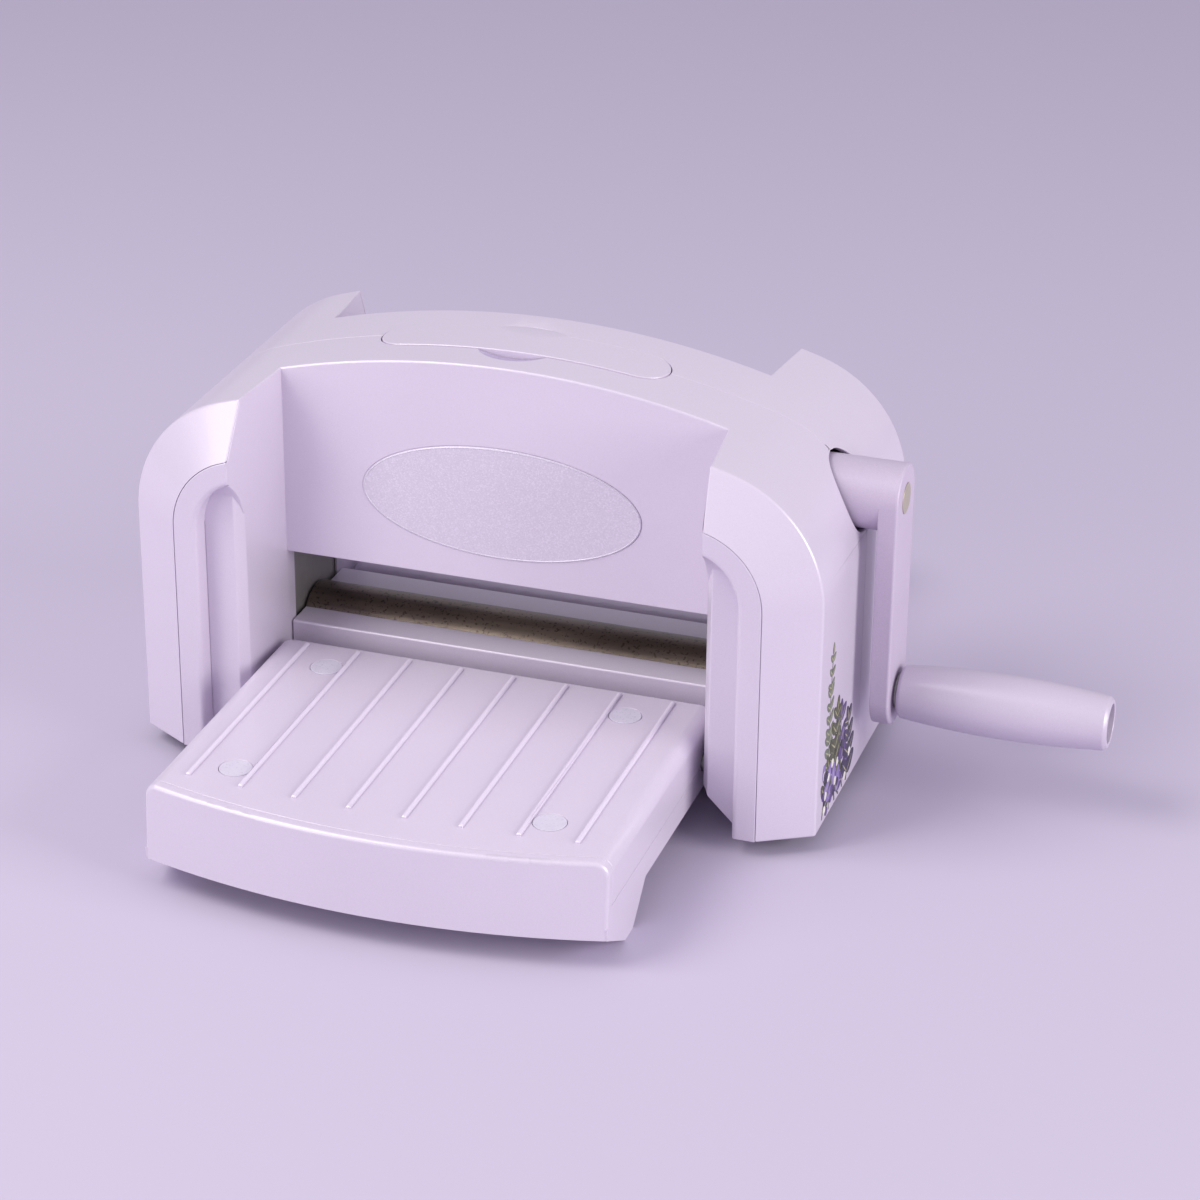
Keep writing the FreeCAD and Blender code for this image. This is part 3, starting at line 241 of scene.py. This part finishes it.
def pearl_plastic(name, tint, rough, grain, highlight_from_z=None, skin=0.16):
    """Pearl moulding with fine flecks under a clear skin, with a painted highlight that makes it paler
    above the height given.
    """
    s = Shader(name)
    cloud = s.noise(16.0, 2.0, 0.5)
    fleck = s.cells(5200.0)
    body = s.ramp(cloud, (0.3, shade(tint, -3)), (0.7, shade(tint, 2)))
    pearl = s.ramp(fleck, (0.0, shade(tint, -7)), (1.0, shade(tint, 8)))
    colour = s.mixed(0.4, body, pearl)
    # Painted highlight: the surface above the given height, the ribs' crests, is made paler
    if highlight_from_z:
        height = s.node("ShaderNodeSeparateXYZ", Vector=s.coords).outputs["Z"]
        low, high = highlight_from_z * MM, (highlight_from_z + HIGHLIGHT_FADE) * MM
        wear_and_painted_highlight = s.node("ShaderNodeMapRange", Value=height, From_Min=low, From_Max=high)
        colour = s.mixed(wear_and_painted_highlight.outputs["Result"], colour, shade(tint, 16))
    s.set(Base_Color=colour)
    s.set(Roughness=s.between(s.noise(900.0, 3.0, 0.6), rough - 0.05, rough + 0.06))
    s.set(Metallic=0.12, Coat_Weight=0.3, Coat_Roughness=skin)
    s.bump(s.noise(grain, 3.0, 0.55), 0.05, 0.0001)
    return s.mat


def arm_paint(name, tint):
    """Coat on the crank arm, with a little orange peel."""
    s = Shader(name)
    body = s.ramp(s.noise(22.0, 2.0, 0.5), (0.3, shade(tint, -4)), (0.7, shade(tint, 3)))
    fleck = s.ramp(s.cells(4200.0), (0.0, shade(tint, -9)), (1.0, shade(tint, 9)))
    s.set(Base_Color=s.mixed(0.4, body, fleck))
    s.set(Roughness=s.between(s.noise(500.0), 0.5, 0.62))
    s.set(Metallic=0.12, Coat_Weight=0.2, Coat_Roughness=0.35)
    s.bump(s.noise(420.0, 2.0, 0.5), 0.06, 0.0002)
    return s.mat


def badge_foil(name):
    """Frosted silver-lilac foil with a sparkle."""
    s = Shader(name)
    tint = (212, 203, 220)
    spark = s.cells(2600.0)
    s.set(Base_Color=s.ramp(spark, (0.0, shade(tint, -6)), (0.75, shade(tint, 2)), (1.0, shade(tint, 12))))
    s.set(Roughness=s.between(spark, 0.34, 0.52))
    s.set(Metallic=0.2)
    s.bump(s.noise(3800.0, 2.0, 0.6), 0.12, 0.0001)
    return s.mat


def bright_foil(name):
    """Polished line round the oval plate."""
    s = Shader(name)
    s.set(Base_Color=s.ramp(s.noise(900.0), (0.3, srgb(214, 207, 222)), (0.7, srgb(226, 220, 233))))
    s.set(Roughness=s.between(s.noise(2400.0), 0.2, 0.32), Metallic=0.3)
    s.bump(s.noise(3000.0), 0.05, 0.00005)
    return s.mat


def soft_pad(name):
    """Clear soft disc that lets the deck's colour through."""
    s = Shader(name)
    s.set(Base_Color=s.ramp(s.noise(260.0), (0.3, srgb(205, 199, 217)), (0.7, srgb(212, 206, 223))))
    s.set(Roughness=s.between(s.noise(1200.0), 0.22, 0.36), Coat_Weight=0.4, Coat_Roughness=0.1)
    s.bump(s.noise(1500.0), 0.05, 0.0001)
    return s.mat


def rolled_steel(name, tint):
    """Cold-rolled plate: drawn grain and faint stains."""
    s = Shader(name)
    grain = s.noise(900.0, 4.0, 0.6, (1.0, 1.0, 0.06))
    stain = s.noise(60.0, 4.0, 0.6)
    body = s.ramp(grain, (0.3, shade(tint, -8)), (0.7, shade(tint, 8)))
    wear_and_painted_highlight = s.ramp(stain, (0.35, shade(tint, -14)), (0.65, shade(tint, 8)))
    s.set(Base_Color=s.mixed(0.45, body, wear_and_painted_highlight))
    s.set(Roughness=s.between(grain, 0.42, 0.6), Metallic=0.45)
    s.bump(grain, 0.12, 0.00006)
    return s.mat


def roller_steel(name):
    """Oiled roller: mottled brown-grey bands, rubbed along its length, with a few dark pits."""
    s = Shader(name)
    band = s.noise(34.0, 5.0, 0.6, (0.5, 1.0, 1.0))
    rub = s.noise(420.0, 4.0, 0.6, (0.05, 1.0, 1.0))
    body = s.ramp(band, (0.3, srgb(96, 83, 76)), (0.52, srgb(124, 110, 101)), (0.72, srgb(154, 139, 125)))
    dark = s.ramp(rub, (0.3, srgb(84, 73, 68)), (0.7, srgb(138, 124, 114)))
    base = s.mixed(0.35, body, dark)
    pits = s.ramp(s.noise(900.0, 2.0, 0.5), (0.35, srgb(70, 60, 56)), (0.41, srgb(255, 255, 255)))
    s.set(Base_Color=s.mixed(0.6, base, pits, "MULTIPLY"))
    s.set(Roughness=s.between(rub, 0.3, 0.46), Metallic=0.65)
    s.bump(rub, 0.08, 0.00008)
    return s.mat


def turned_steel(name, tint, centre):
    """Lathe-turned face with fine rings."""
    s = Shader(name)
    lines = s.rings(900.0, centre)
    s.set(Base_Color=s.ramp(lines, (0.2, shade(tint, -10)), (0.8, shade(tint, 8))))
    s.set(Roughness=s.between(s.noise(700.0), 0.32, 0.46), Metallic=0.6)
    s.bump(lines, 0.08, 0.00005)
    return s.mat


def plated_steel(name, tint):
    """Zinc plate with a faint spangle."""
    s = Shader(name)
    s.set(Base_Color=s.ramp(s.cells(700.0), (0.0, shade(tint, -10)), (1.0, shade(tint, 10))))
    s.set(Roughness=s.between(s.noise(600.0), 0.28, 0.42), Metallic=0.9)
    s.bump(s.noise(1100.0), 0.06, 0.00006)
    return s.mat


def sintered_bronze(name):
    s = Shader(name)
    grain = s.noise(1500.0, 3.0, 0.6)
    s.set(Base_Color=s.ramp(grain, (0.3, srgb(150, 112, 62)), (0.7, srgb(184, 142, 84))))
    s.set(Roughness=s.between(s.noise(500.0), 0.38, 0.55), Metallic=0.9)
    s.bump(s.noise(2600.0), 0.15, 0.00008)
    return s.mat


def oiled_iron(name):
    s = Shader(name)
    s.set(Base_Color=s.ramp(s.noise(120.0, 4.0, 0.6), (0.3, srgb(62, 61, 62)), (0.7, srgb(92, 91, 92))))
    s.set(Roughness=s.between(s.noise(90.0), 0.3, 0.55), Metallic=0.75)
    s.bump(s.noise(900.0, 4.0, 0.6), 0.15, 0.0001)
    return s.mat


def grained_plastic(name, tint):
    s = Shader(name)
    s.set(Base_Color=s.ramp(s.noise(40.0), (0.3, shade(tint, -6)), (0.7, shade(tint, 5))))
    s.set(Roughness=s.between(s.noise(1500.0), 0.5, 0.66))
    s.bump(s.noise(1900.0, 2.0, 0.5), 0.25, 0.0001)
    return s.mat


def foot_rubber(name):
    s = Shader(name)
    s.set(Base_Color=s.ramp(s.noise(200.0), (0.3, srgb(38, 37, 40)), (0.7, srgb(54, 53, 57))))
    s.set(Roughness=s.between(s.noise(900.0), 0.7, 0.86))
    s.bump(s.noise(1600.0), 0.3, 0.00012)
    return s.mat


def printed_ink(name, tint):
    """Printed colour on the side, mottled like a wash."""
    s = Shader(name)
    wash = s.noise(260.0, 4.0, 0.6)
    s.set(Base_Color=s.ramp(wash, (0.3, shade(tint, -16)), (0.5, shade(tint, 0)), (0.7, shade(tint, 20))))
    s.set(Roughness=s.between(s.noise(800.0), 0.34, 0.46), Coat_Weight=0.2, Coat_Roughness=0.2)
    s.bump(s.noise(2600.0), 0.04, 0.0001)
    return s.mat


def paint(mat, *names):
    for name in names:
        NODES[name].data.materials.clear()
        NODES[name].data.materials.append(mat)


paint(pearl_plastic("lilac_housing", LILAC, 0.33, 2600.0),
      "front_shell", "rear_shell", "front_fascia", "rear_fascia", "handle_well", "front_sill", "rear_sill",
      "carry_handle")
paint(pearl_plastic("lilac_tray", LILAC, 0.38, 2100.0), "front_tray_base", "rear_tray_base")
# The decks' ribs get a painted highlight on their crests, above their foot
paint(pearl_plastic("lilac_deck", LILAC, 0.38, 2100.0, RIB_FOOT_Z), "front_deck", "rear_deck")
paint(pearl_plastic("lilac_grip", GRIP_LILAC, 0.38, 2600.0, skin=0.24), "crank_grip")
paint(arm_paint("lilac_arm", ARM_LILAC), "crank_arm")
paint(badge_foil("badge_silver"), "badge_plate")
paint(soft_pad("pad_clear"), "front_pads", "rear_pads")
paint(rolled_steel("plate_steel", (152, 148, 147)), "left_side_plate", "right_side_plate", "gear_plate")
paint(plated_steel("rod_steel", (150, 149, 148)),
      "gear_standoffs", "tie_rods", "crank_shaft", "handle_legs", "grip_spindle")
paint(plated_steel("screw_steel", (172, 171, 170)),
      "base_screws", "tie_nuts", "front_hinge_pins", "rear_hinge_pins", "handle_stops")
paint(roller_steel("roller_steel"), "upper_roller", "lower_roller")
paint(turned_steel("cap_steel", (198, 190, 172), (0.0, 0.0, -CRANK_Z * MM)), "arm_cap")
paint(sintered_bronze("bush_bronze"), "roller_bushes", "crank_bushes")
paint(oiled_iron("gear_iron"), "crank_pinion", "drive_gear", "upper_timing_gear", "lower_timing_gear")
paint(grained_plastic("base_plastic", (104, 96, 122)), "base_plate")
paint(foot_rubber("foot_rubber"), "rubber_feet")


def paint_dish_shade(name, mat):
    """Paint shade on the faces of the front finger dish, as a deeper tone."""
    mesh = NODES[name].data
    mesh.materials.append(mat)
    for poly in mesh.polygons:
        if abs(math.dist(poly.center / MM, DISH_CENTRE) - DISH_R) < NEAR_DISH:
            poly.material_index = 1


# Painted shade in the finger dish in front of the handle
paint_dish_shade("front_shell", pearl_plastic("lilac_dish_painted_shade", DISH_SHADE_LILAC, 0.36, 2600.0))


# Edge rounding


def true_corners(mesh):
    """Edges where the solid's surface normals differ: {end points in mm: (edge numbers, stands out)}."""
    def key(index):
        return tuple(round(c * MICRONS_PER_M) / MICRONS_PER_MM for c in mesh.vertices[index].co)

    normals = [corner.vector.copy() for corner in mesh.corner_normals]
    sides = {}
    for poly in mesh.polygons:
        loops = list(poly.loop_indices)
        for i, j in zip(loops, loops[1:] + loops[:1]):
            a, b = key(mesh.loops[i].vertex_index), key(mesh.loops[j].vertex_index)
            ends = {a: normals[i], b: normals[j]}
            sides.setdefault((min(a, b), max(a, b)), []).append((ends, mesh.loops[i].edge_index, poly))
    found = {}
    for ends, pair in sides.items():
        if len(pair) == 2 and ends[0] != ends[1]:
            (one, first, p), (two, second, q) = pair
            if max(one[k].angle(two[k], 0.0) for k in ends) > math.radians(CORNER_ANGLE):
                found[ends] = ((first, second), (q.center - p.center).dot(p.normal) < 0)
    return found


def room(edges, width):
    """How much of the width each edge may take before it meets the next one."""
    at = {}
    for i, ends in enumerate(edges):
        for p in ends:
            at.setdefault(p, []).append(i)
    chain = list(range(len(edges)))

    def head(i):
        while chain[i] != i:
            i = chain[i]
        return i

    def away(i, p):
        a, b = edges[i]
        return (Vector(b) - Vector(a)).normalized() * (1 if p == a else -1)

    # Edges that run on from one another are one chain
    for p, near in at.items():
        if len(near) == 2 and away(near[0], p).dot(away(near[1], p)) < STRAIGHT_ON:
            chain[head(near[0])] = head(near[1])
    heads = [head(i) for i in range(len(edges))]
    length, joints = {}, {}
    for i, (a, b) in enumerate(edges):
        length[heads[i]] = length.get(heads[i], 0.0) + math.dist(a, b)
    for p, near in at.items():
        for i in near:
            for j in near:
                if heads[i] != heads[j]:
                    joints.setdefault((heads[i], heads[j]), []).append(p)
    # Marks along the edges find the nearest other chain, away from the corners that both share
    marks = []
    for i, (a, b) in enumerate(edges):
        count = math.ceil(math.dist(a, b) / MARK_STEP)
        marks += [(Vector(a).lerp(Vector(b), (k + 0.5) / count), i) for k in range(count)]
    tree = kdtree.KDTree(len(marks))
    for n, (p, _) in enumerate(marks):
        tree.insert(p, n)
    tree.balance()
    limit = [width] * len(edges)
    for p, i in marks:
        for q, n, gap in tree.find_range(p, ROOM_REACH * width):
            other = heads[marks[n][1]]
            meets = joints.get((heads[i], other), [])
            if other != heads[i] and all(math.dist(p, v) > ROOM_SKIP * width for v in meets):
                limit[i] = min(limit[i], ROOM_SHARE * gap)
    # An edge takes no more than its share of a short chain that it meets
    for p, near in at.items():
        for i in near:
            for j in near:
                if heads[i] != heads[j]:
                    limit[i] = min(limit[i], ROOM_SHARE * length[heads[j]])
    return {ends: limit[i] / width for i, ends in enumerate(edges)}


def whole(p):
    """The rule for a piece whose edges all have the full width."""
    return 1.0


def soften(name, width, rule=whole):
    """Round the edges that stand out and smooth the shading, by modifiers only."""
    mesh = NODES[name].data
    corners = true_corners(mesh)
    share = {}
    for ends, (_, out) in corners.items():
        share[ends] = rule([(a + b) / 2 for a, b in zip(*ends)]) if out else 0.0
    space = room([ends for ends in share if share[ends]], width)
    layer = mesh.attributes.new("bevel_weight_edge", "FLOAT", "EDGE")
    for edge in mesh.edges:
        edge.use_edge_sharp = False
    for ends, (numbers, _) in corners.items():
        weight = min(share[ends], space.get(ends, 0.0))
        for number in numbers:
            layer.data[number].value = weight if weight > LEAST_EDGE else 0.0
            mesh.edges[number].use_edge_sharp = weight <= LEAST_EDGE
    for poly in mesh.polygons:
        poly.use_smooth = True
    stack = NODES[name].modifiers
    weld = stack.new("weld", "WELD")
    weld.merge_threshold = WELD_GAP * MM
    flat = stack.new("flat", "DECIMATE")
    flat.decimate_type = "DISSOLVE"
    flat.angle_limit = math.radians(FLAT_ANGLE)
    edge = stack.new("edge", "BEVEL")
    edge.width = width * MM
    edge.segments = EDGE_STEPS
    edge.limit_method = "WEIGHT"
    edge.use_clamp_overlap = False
    part = stack.new("part", "EDGE_SPLIT")
    part.split_angle = math.radians(SPLIT_ANGLE)
    even = stack.new("even", "WEIGHTED_NORMAL")
    even.keep_sharp = True


def crown_depth(p):
    """How far a point lies under the arc of the crown."""
    return CROWN_R - math.hypot(p[0] - MID_X, p[2] - CROWN_Z + CROWN_R)


def flush(p):
    """True where the fascia meets the lip of the shell flush."""
    return PANEL_Y - NEAR < abs(p[1]) < LIP_END_Y and abs(crown_depth(p) - LIP) < NEAR


def shell_rule(p):
    """Fine edges along the seam, round the bands and at the handle, none at the flush joint."""
    if flush(p):
        return 0.0
    if abs(p[1]) < NEAR_SEAM or abs(p[1]) < HANDLE_HALF_Y and p[2] > HANDLE_LOW_Z:
        return FINE_EDGE
    if abs(p[1]) > FRONT_Y - NEAR:
        return BAND_EDGE
    return 1.0


def fascia_rule(p):
    """No rounding at the flush joint, the full width elsewhere."""
    return 0.0 if flush(p) else 1.0


for name in ("front_shell", "rear_shell"):
    soften(name, 0.8, shell_rule)
for name in ("front_fascia", "rear_fascia"):
    soften(name, 0.4, fascia_rule)
for width, names in (
    (0.4, ("crank_arm", "front_sill", "rear_sill")),
    (0.3, ("front_deck", "rear_deck", "handle_well", "crank_grip", "rubber_feet", "base_plate")),
    (0.2, ("upper_roller", "lower_roller", "left_side_plate", "right_side_plate")),
    (0.2, ("front_pads", "rear_pads", "badge_plate", "arm_cap", "crank_shaft", "grip_spindle")),
    (0.2, ("tie_rods", "handle_legs", "handle_stops")),
):
    for name in names:
        soften(name, width)


def even_front_edge(name, side):
    """Take the normals on the rounded front edge of a tray from its arc in plan."""
    mesh = NODES[name].data
    normals = [corner.vector.copy() for corner in mesh.corner_normals]
    for i, loop in enumerate(mesh.loops):
        x, y, z = mesh.vertices[loop.vertex_index].co / MM
        across = Vector((x - MID_X, y - side * TRAY_ARC_Y))
        up = (z - TRAY_TOP_Z) / TRAY_ROUND + 1
        if ROUND_LOW < up and across.length > TRAY_ARC_R and abs(across.x) < TRAY_HALF_X:
            up = min(up, 1.0)
            flat = across.normalized() * math.sqrt(1 - up * up)
            normals[i] = Vector((flat.x, flat.y, up))
    mesh.normals_split_custom_set(normals)


even_front_edge("front_tray_base", 1)
even_front_edge("rear_tray_base", -1)


# Pieces added to the solids


def new_piece(name, verts, faces, body):
    """A piece that isn't among the solids, from points in millimetres, riding on a body."""
    mesh = bpy.data.meshes.new(name)
    mesh.from_pydata([(x * MM, y * MM, z * MM) for x, y, z in verts], [], faces)
    mesh.update()
    obj = bpy.data.objects.new(name, mesh)
    bpy.context.scene.collection.objects.link(obj)
    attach(obj, body)
    return obj


def badge_rim():
    """Fine raised line round the oval plate, of half-round section."""
    steps, parts, width, height, inset = 160, 6, 0.24, 0.12, 0.5
    verts, faces = [], []
    for i in range(steps):
        a = 2 * math.pi * i / steps
        nx, nz = BADGE_HALF_H * math.cos(a), BADGE_HALF_W * math.sin(a)
        size = math.hypot(nx, nz)
        cx = (BADGE_HALF_W - inset) * math.cos(a)
        cz = (BADGE_HALF_H - inset) * math.sin(a)
        for k in range(parts):
            t = 2 * math.pi * k / parts
            out = width * math.cos(t)
            x, z = cx + out * nx / size, cz + out * nz / size
            verts.append((MID_X + x, BADGE_FACE_Y - height * math.sin(t), BADGE_Z + z))
    for i in range(steps):
        j = (i + 1) % steps
        for k in range(parts):
            m = (k + 1) % parts
            faces.append((i * parts + k, i * parts + m, j * parts + m, j * parts + k))
    obj = new_piece("badge_rim", verts, faces, "housing")
    for poly in obj.data.polygons:
        poly.use_smooth = True
    obj.data.materials.append(bright_foil("badge_line"))


def sprig_outlines():
    """Generic round-leaved branches and berries for the side, as (ink, outline) in the side's plane."""
    draw = random.Random(SPRIG_SEED)
    made = []

    def oval(ink, y, z, angle, length, width):
        """An egg with its foot at the place given, left out where it would leave the side's flat."""
        points = []
        c, d = math.cos(angle), math.sin(angle)
        for k in range(OVAL_POINTS):
            t = 2 * math.pi * k / OVAL_POINTS
            a = length / 2 * (1 + math.cos(t))
            b = width / 2 * math.sin(t) * (1 - LEAF_FULLER * math.cos(t))
            points.append((y + a * c - b * d, z + a * d + b * c))
        inside = min(p[0] for p in points) > SPRIG_EDGE_Y and min(p[1] for p in points) > SPRIG_LOW_Z
        if inside:
            made.append((ink, points))
        return inside

    def leaf(ink, y, z, angle, length):
        if oval(ink, y, z, angle, length, length * LEAF_WIDTH):
            oval("vein", y, z, angle, length * VEIN_LENGTH, VEIN_WIDTH)

    def branch(ink, y, z, angle, bend, length, pairs, size):
        """A bent stem with pairs of leaves that shrink towards its tip, and one leaf at the end."""
        spine = [(y, z, angle)]
        step = length / STEM_STEPS
        for k in range(STEM_STEPS):
            angle += bend / STEM_STEPS
            y, z = y + step * math.cos(angle), z + step * math.sin(angle)
            spine.append((y, z, angle))
        left = [(p - STEM_HALF * math.sin(a), q + STEM_HALF * math.cos(a)) for p, q, a in spine]
        right = [(p + STEM_HALF * math.sin(a), q - STEM_HALF * math.cos(a)) for p, q, a in spine]
        made.append(("stem", right + left[::-1]))
        for k in range(pairs):
            p, q, a = spine[round(STEM_STEPS * (LEAF_START + LEAF_RUN * k / (pairs - 1)))]
            for side in (-1, 1):
                spread = LEAF_SPREAD + draw.uniform(-LEAF_SWAY, LEAF_SWAY)
                leaf(ink, p, q, a + side * spread, size * (1.0 - LEAF_TAPER * k / pairs))
        p, q, a = spine[-1]
        leaf(ink, p, q, a, size * TIP_LEAF)

    branch("sage", -38.0, 8.0, 1.75, -0.3, 60.0, 12, 7.5)
    branch("olive", -47.0, 8.5, 1.35, -0.5, 24.0, 5, 8.5)
    branch("plum", -21.0, 8.0, 1.9, -0.35, 30.0, 4, 12.0)
    branch("olive", -31.0, 8.0, 1.8, -0.45, 34.0, 6, 11.0)
    branch("lavender", -26.0, 8.0, 2.35, 0.3, 26.0, 4, 10.0)
    branch("grape", -16.0, 8.0, 1.3, 0.5, 24.0, 4, 10.0)
    for k in range(BERRY_COUNT):
        y, z = draw.uniform(*BERRY_Y), draw.uniform(*BERRY_Z)
        oval(("cream", "grape", "plum")[k % 3], y, z, 0.0, BERRY_SIZE, BERRY_SIZE)
    return made


def side_sprigs():
    """The outlines as thin closed flakes on the side wall."""
    inks = {
        "sage": (104, 112, 92),
        "olive": (70, 74, 40),
        "plum": (84, 62, 122),
        "lavender": (138, 118, 182),
        "grape": (50, 42, 72),
        "stem": (72, 78, 54),
        "vein": (176, 172, 132),
        "cream": (232, 228, 222),
    }
    verts, faces, kinds = [], [], []
    for order, (ink, outline) in enumerate(sprig_outlines()):
        first, count = len(verts), len(outline)
        top = SIDE_X + PRINT_RAISE + PRINT_LAYER * order
        verts += [(top, y, z) for y, z in outline]
        verts += [(SIDE_X - PRINT_SINK, y, z) for y, z in outline]
        faces.append(tuple(range(first, first + count)))
        faces.append(tuple(range(first + 2 * count - 1, first + count - 1, -1)))
        for k in range(count):
            m = (k + 1) % count
            faces.append((first + k, first + count + k, first + count + m, first + m))
        kinds += [ink] * (count + 2)
    obj = new_piece("side_sprigs", verts, faces, "housing")
    names = list(inks)
    for ink in names:
        obj.data.materials.append(printed_ink("ink_" + ink, inks[ink]))
    for poly, ink in zip(obj.data.polygons, kinds):
        poly.material_index = names.index(ink)


badge_rim()
side_sprigs()


# Stage


def floor_paper(name):
    s = Shader(name)
    s.set(Base_Color=srgb(196, 186, 210), Roughness=0.8)
    return s.mat


def floor():
    mesh = bpy.data.meshes.new("floor")
    h = FLOOR_HALF
    mesh.from_pydata([(-h, -h, 0), (h, -h, 0), (h, h, 0), (-h, h, 0)], [], [(0, 1, 2, 3)])
    obj = bpy.data.objects.new("floor", mesh)
    bpy.context.scene.collection.objects.link(obj)
    mesh.materials.append(floor_paper("floor_paper"))


def area(name, place, target, power):
    """A square soft lamp aimed at a target."""
    data = bpy.data.lights.new(name, "AREA")
    data.shape = "SQUARE"
    data.size = LAMP_SIZE
    data.energy = power
    data.color = LAMP_COLOUR
    obj = bpy.data.objects.new(name, data)
    obj.location = place
    obj.rotation_euler = (Vector(target) - Vector(place)).to_track_quat("-Z", "Y").to_euler()
    bpy.context.scene.collection.objects.link(obj)


def camera():
    """Camera turned about the upright, tilted down and rolled a little."""
    data = bpy.data.cameras.new("camera")
    data.sensor_width = CAMERA_SENSOR
    data.lens = CAMERA_LENS
    turn, tilt, roll = [math.radians(v) for v in (CAMERA_TURN, CAMERA_TILT, CAMERA_ROLL)]
    ahead = Vector((-math.sin(turn) * math.cos(tilt), math.cos(turn) * math.cos(tilt), -math.sin(tilt)))
    level = Vector((math.cos(turn), math.sin(turn), 0))
    steep = level.cross(ahead)
    right = level * math.cos(roll) + steep * math.sin(roll)
    up = steep * math.cos(roll) - level * math.sin(roll)
    axes = Matrix((right, up, -ahead)).transposed().to_4x4()
    obj = bpy.data.objects.new("camera", data)
    obj.matrix_world = Matrix.Translation(CAMERA_PLACE) @ axes
    bpy.context.scene.collection.objects.link(obj)
    bpy.context.scene.camera = obj


def world():
    studio = bpy.data.worlds.new("studio")
    studio.use_nodes = True
    back = studio.node_tree.nodes["Background"]
    back.inputs["Color"].default_value = WORLD_COLOUR
    back.inputs["Strength"].default_value = WORLD_STRENGTH
    bpy.context.scene.world = studio


floor()
world()
camera()
area("key", (-0.95, -1.2, 0.5), (-0.04, -0.02, 0.06), 6.4)
area("fill", (1.5, -0.35, 0.55), (0, 0, 0.06), 17.8)
area("top", (-0.8, -0.58, 1.27), (0, 0, 0.05), 12.4)
bpy.context.scene.view_settings.view_transform = "Standard"
